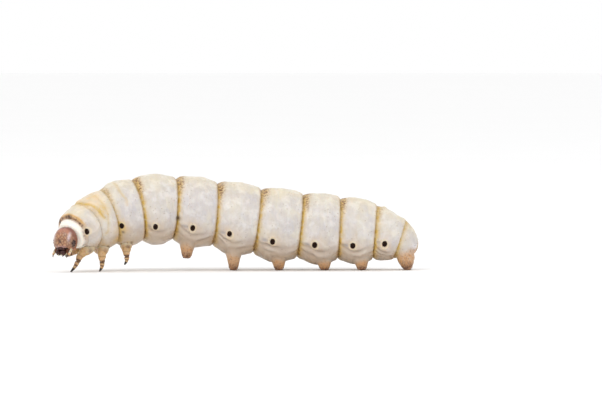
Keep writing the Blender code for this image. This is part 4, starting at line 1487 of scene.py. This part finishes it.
class SILKWORM_OT_eyes(bpy.types.Operator):
    """Six small eyes on each cheek"""
    bl_idname = "silkworm.eyes"
    bl_label = "Eyes"

    def execute(self, context):
        eye = unit(np.array(EYE_CENTRE))
        first = unit(np.cross(eye, (0.0, 0.0, 1.0)))
        second = np.cross(first, eye)
        parts = []
        for side, _ in SIDES:
            for degrees, reach, size in EYES:
                turned = math.radians(degrees)
                spot = unit(eye + reach * (math.cos(turned) * first + math.sin(turned) * second))
                spot = spot * np.array((side, 1.0, 1.0))
                base = shell_point(spot[None, :])[0][0]
                out = unit(base / np.array(HEAD_HALF) ** 2)
                dome = ball(rows=14, columns=18) * size
                flat = np.sum(dome * out, -1, keepdims=True) * out
                parts.append((head_place(base + dome - flat * EYE_FLATNESS), {}))
        material = horn_material("eye_glass", (0.012, 0.006, 0.005), (0.045, 0.014, 0.008), 0.12)
        add_piece("eyes", joined("eyes", parts), material)
        return {"FINISHED"}


def notched(form):
    """Upper lip from a ball: bent back at its sides, with a notch in the middle of its lower edge."""
    across, front, up = form[..., 0], form[..., 1], form[..., 2]
    notch = bump(across, 0.28) * np.clip(-up, 0.0, 1.0)
    return np.stack([across, front - 0.25 * across ** 2, up * (1.0 - 0.45 * notch)], -1)


def toothed(form, side):
    """Jaw from a ball: teeth along its lower edge, and thinner below on its inner side."""
    across, front, up = form[..., 0], form[..., 1], form[..., 2]
    teeth = 0.16 * np.cos(front * 11.0) * step(-0.2, -0.9, up)
    inner = 1.0 - 0.25 * np.clip(-across * side, 0.0, 1.0) * np.clip(-up, 0.0, 1.0)
    return np.stack([across * inner, front, up * (1.0 + teeth)], -1)


def palp_grid(row, side):
    """Palp: a short tube that narrows downward, with a waist and a ring at its middle."""
    x, y, z, reach, size = row
    count = 16
    s = np.linspace(0.0, 1.0, count)
    line = np.stack([np.linspace(x, x * 0.9, count) * side, np.linspace(y, y + 0.06, count),
                     np.linspace(z, z - reach, count)], -1)
    radii = size * (1.0 - 0.55 * s) * (1.0 - 0.22 * bump(s - 0.5, 0.07))
    return head_tube(line, radii), leg_masks(count, 16, ring=bump(s - 0.5, 0.06), root=np.ones(count))


class SILKWORM_OT_mouth(bpy.types.Operator):
    """Upper lip, jaws, lower lip with the silk tube, and the side lobes with their palps"""
    bl_idname = "silkworm.mouth"
    bl_label = "Mouthparts"

    def execute(self, context):
        settings = context.scene.silkworm_head
        dark = horn_material("mouth_horn", settings.horn, (0.075, 0.028, 0.022), 0.26)
        brown = horn_material("lip_horn", (0.075, 0.024, 0.012), (0.17, 0.06, 0.025), 0.32)
        lip = rounded_block(*LABRUM, rows=36, columns=60, square=0.9, change=notched)
        add_piece("upper_lip", rows_mesh("upper_lip", lip), dark, ("labrum",))
        for side, word in SIDES:
            (x, y, z), half = MANDIBLE
            jaw = rounded_block((x * side, y, z), half, rows=44, columns=56, square=0.95,
                                change=lambda form: toothed(form, side))
            mesh = rows_mesh("jaw_" + word, jaw)
            add_piece("jaw_" + word, mesh, dark, ("mandible_" + word,))
        tube = along_path(SILK_TUBE, 14)
        lower = [rounded_block(*LABIUM, rows=32, columns=40, square=0.85),
                 head_tube(tube, np.linspace(0.11, 0.045, 14))]
        for side, _ in SIDES:
            (x, y, z), half = SIDE_LOBE
            lower.append(rounded_block((x * side, y, z), half, rows=26, columns=32, square=0.9))
        mesh = joined("lower_lip", [(points, {}) for points in lower])
        add_piece("lower_lip", mesh, brown, ("labium",))
        palps = [palp_grid(row, side) for row in PALPS for side, _ in SIDES]
        add_piece("palps", joined("palps", palps, LEG_MASKS), leg_material(settings))
        return {"FINISHED"}


class SILKWORM_OT_feelers(bpy.types.Operator):
    """Short three-part feelers beside the mouth"""
    bl_idname = "silkworm.feelers"
    bl_label = "Feelers"

    def execute(self, context):
        material = leg_material(context.scene.silkworm_head)
        count, columns = 48, 22
        s = np.linspace(0.0, 1.0, count)
        radii = np.interp(s, *FEELER_PROFILE)
        masks = leg_masks(count, columns, ring=0.55 * bump(s - 0.34, 0.03), fold=bump(s - 0.64, 0.04),
                          root=step(0.65, 0.45, s), tip=0.85 * step(0.62, 0.74, s))
        base, knee, tip = np.array(FEELER_BASE), np.array(FEELER_KNEE), np.array(FEELER_TIP)
        for side, word in SIDES:
            bends = np.stack([base * 0.93, base, knee, tip]) * np.array((side, 1.0, 1.0))
            line = along_path(bends, count)
            mesh = rows_mesh("feeler_" + word, head_tube(line, radii, columns), masks)
            add_piece("feeler_" + word, mesh, material, ("antenna_" + word,))
        return {"FINISHED"}


class SILKWORM_OT_legs(bpy.types.Operator):
    """Six jointed legs and their claws"""
    bl_idname = "silkworm.legs"
    bl_label = "Jointed legs"

    def execute(self, context):
        material = leg_material(context.scene.silkworm_head)
        for row in LEGS:
            label = row[0]
            mesh = rows_mesh("jointed_" + label, *leg_grid(row))
            add_piece("jointed_" + label, mesh, material, ("leg_" + label,))
            mesh = rows_mesh("hook_" + label, *claw_grid(row))
            add_piece("hook_" + label, mesh, material, ("claw_" + label,))
        return {"FINISHED"}


class SILKWORM_OT_crochets(bpy.types.Operator):
    """Tiny hooks round the soles of the soft feet"""
    bl_idname = "silkworm.crochets"
    bl_label = "Sole hooks"

    def execute(self, context):
        parts = []
        s = np.linspace(0.0, 1.0, 6)[:, None]
        for kind, side, _, (x, y, z) in soft_feet():
            ring = SOLE_RINGS[kind]
            start = 0.0 if side > 0.0 else math.pi
            for turned in np.radians(np.linspace(-0.5, 0.5, HOOK_COUNT) * HOOK_ARC) + start:
                out = np.array((math.cos(turned), math.sin(turned), 0.0))
                aside = ring + HOOK_BOW * np.sin(math.pi * s) - HOOK_CURL * s ** 2
                line = np.array((x, y, z + HOOK_RISE)) + out * aside - np.array((0.0, 0.0, HOOK_DROP)) * s
                tube = swept(line, HOOK_RADIUS * (1.0 - 0.8 * s[:, 0]), 5)
                tube[..., 2] = np.maximum(tube[..., 2], z)
                parts.append((tube, {}))
        material = horn_material("hook_horn", (0.07, 0.022, 0.010), (0.16, 0.06, 0.025), 0.3)
        add_piece("sole_hooks", joined("sole_hooks", parts), material)
        return {"FINISHED"}


class SILKWORM_OT_bristles(bpy.types.Operator):
    """Sparse fine bristles on the skin, the head and round the tail"""
    bl_idname = "silkworm.bristles"
    bl_label = "Bristles"

    def execute(self, context):
        rng = np.random.default_rng(77)
        settings = context.scene.silkworm_skin
        pale = []
        dark = []
        for index in range(1, 11):
            for turned in BRISTLE_ANGLES:
                for side in (1, -1):
                    at = index + 0.25 + 0.5 * rng.random()
                    root, out = on_skin(settings, at, side * (turned + 6.0 * rng.random()))
                    if root[2] < BRISTLE_LOWEST:
                        continue
                    lean = unit(out + 0.35 * rng.normal(size=3))
                    least, more, radius = BODY_BRISTLE
                    length = least + more * rng.random()
                    pale.append((bristle_grid(root - out * 0.04, lean, length, radius), {}))
        for turned in np.linspace(-0.5, 0.5, TAIL_BRISTLES) * 220.0:
            root, out = on_skin(settings, 11.72 + 0.2 * rng.random(), turned)
            lean = unit(out + np.array((0.7, 0.0, 0.1)) + 0.2 * rng.normal(size=3))
            least, more, radius = TAIL_BRISTLE
            length = least + more * rng.random()
            dark.append((bristle_grid(root - out * 0.05, lean, length, radius), {}))
        for _ in range(HEAD_BRISTLES):
            direction = unit(np.array((rng.normal() * 0.8, 0.5 + rng.random(), rng.normal() * 0.7)))
            if direction[2] < -0.35:
                direction[2] = -direction[2]
            root = shell_point(direction[None, :])[0][0]
            line = np.linspace(0.96, 1.0 + 0.16 + 0.08 * rng.random(), BRISTLE_RINGS)[:, None] * root
            radii = HEAD_BRISTLE_RADIUS * (1.0 - 0.85 * np.linspace(0.0, 1.0, BRISTLE_RINGS))
            pale.append((head_tube(line, radii, 5), {}))
        material = horn_material("bristle_pale", (0.62, 0.46, 0.28), (0.45, 0.30, 0.16), 0.4)
        add_piece("pale_bristles", joined("pale_bristles", pale), material)
        material = horn_material("bristle_dark", (0.05, 0.02, 0.01), (0.12, 0.05, 0.02), 0.4)
        add_piece("tail_bristles", joined("tail_bristles", dark), material)
        return {"FINISHED"}


def aim(direction):
    """Turn that points a lamp or a camera along a direction, upright."""
    return Vector(direction).to_track_quat("-Z", "Y")


def set_up(context, name, held, place, direction):
    """Object for a lamp or a camera at a place, pointed along a direction."""
    holder = bpy.data.objects.new(name, held)
    holder.location = place
    holder.rotation_mode = "QUATERNION"
    holder.rotation_quaternion = aim(direction)
    context.scene.collection.objects.link(holder)
    return holder


class SILKWORM_OT_stage(bpy.types.Operator):
    """Plain pale floor, soft light from all round and the camera"""
    bl_idname = "silkworm.stage"
    bl_label = "Floor, light and camera"

    def execute(self, context):
        settings = context.scene.silkworm_stage
        side = np.linspace(-FLOOR_HALF, FLOOR_HALF, 13)
        grid = np.stack(np.broadcast_arrays(side[:, None], side[None, :], FLOOR_LEVEL), -1)
        index = np.arange(grid.shape[0] * grid.shape[1]).reshape(grid.shape[:2])
        quads = np.stack([index[:-1, :-1], index[1:, :-1], index[1:, 1:], index[:-1, 1:]], -1)
        mesh = smooth_mesh("floor", grid.reshape(-1, 3).tolist(), quads.reshape(-1, 4).tolist())
        material, tree, shader = start_material("floor_paper", roughness=0.85)
        paper = mottle(tree, millimetres(tree), 0.02, 0.2, 0.8)
        tone = blend_colours(tree, paper, settings.floor, [value * 0.99 for value in settings.floor])
        tree.links.new(tone, shader.inputs["Base Color"])
        mesh.materials.append(material)
        floor = bpy.data.objects.new("floor", mesh)
        context.scene.collection.objects.link(floor)

        world = bpy.data.worlds.new("soft_sky")
        world.use_nodes = True
        sky = world.node_tree.nodes["Background"]
        sky.inputs["Color"].default_value = (1.0, 1.0, 1.0, 1.0)
        sky.inputs["Strength"].default_value = settings.sky
        context.scene.world = world
        context.scene.view_settings.view_transform = "Standard"
        for name, place, size, share in LAMPS:
            lamp = bpy.data.lights.new(name, "AREA")
            lamp.size = size
            lamp.energy = settings.key * share
            set_up(context, name, lamp, place, np.array(LAMP_TARGET) - np.array(place))

        back = np.array((0.0, -math.cos(settings.elevation), math.sin(settings.elevation)))
        view = bpy.data.cameras.new("camera")
        view.lens = settings.lens
        view.sensor_width = 36.0
        view.clip_start = 0.01
        view.clip_end = 10.0
        place = np.array(CAMERA_TARGET) * MM + back * settings.distance
        context.scene.camera = set_up(context, "camera", view, place, -back)
        return {"FINISHED"}


OPERATORS = (
    SILKWORM_OT_skin, SILKWORM_OT_pores, SILKWORM_OT_head, SILKWORM_OT_eyes, SILKWORM_OT_mouth,
    SILKWORM_OT_feelers, SILKWORM_OT_legs, SILKWORM_OT_crochets, SILKWORM_OT_bristles, SILKWORM_OT_stage,
)


class SILKWORM_PT_sidebar(bpy.types.Panel):
    """Pieces of the silkworm and what may be changed"""
    bl_idname = "SILKWORM_PT_sidebar"
    bl_label = "Silkworm"
    bl_space_type = "VIEW_3D"
    bl_region_type = "UI"
    bl_category = "Silkworm"

    def draw(self, context):
        scene = context.scene
        column = self.layout.column()
        for operator in OPERATORS:
            column.operator(operator.bl_idname)
        for title, settings in (("Skin", scene.silkworm_skin), ("Head and legs", scene.silkworm_head),
                                ("Stage", scene.silkworm_stage)):
            box = self.layout.box()
            box.label(text=title)
            for key in settings.bl_rna.properties.keys():
                if key not in ("rna_type", "name"):
                    box.prop(settings, key)


SETTINGS = (SilkwormSkinSettings, SilkwormHeadSettings, SilkwormStageSettings)


def register():
    """Registers the settings, the operators and the panel."""
    for kind in SETTINGS + OPERATORS + (SILKWORM_PT_sidebar,):
        bpy.utils.register_class(kind)
    bpy.types.Scene.silkworm_skin = bpy.props.PointerProperty(type=SilkwormSkinSettings)
    bpy.types.Scene.silkworm_head = bpy.props.PointerProperty(type=SilkwormHeadSettings)
    bpy.types.Scene.silkworm_stage = bpy.props.PointerProperty(type=SilkwormStageSettings)


def unregister():
    """Takes back what register made."""
    del bpy.types.Scene.silkworm_stage
    del bpy.types.Scene.silkworm_head
    del bpy.types.Scene.silkworm_skin
    for kind in reversed(SETTINGS + OPERATORS + (SILKWORM_PT_sidebar,)):
        bpy.utils.unregister_class(kind)


def main():
    """Makes every piece in order."""
    register()
    for operator in OPERATORS:
        group, name = operator.bl_idname.split(".")
        getattr(getattr(bpy.ops, group), name)()


if __name__ == "__main__":
    main()
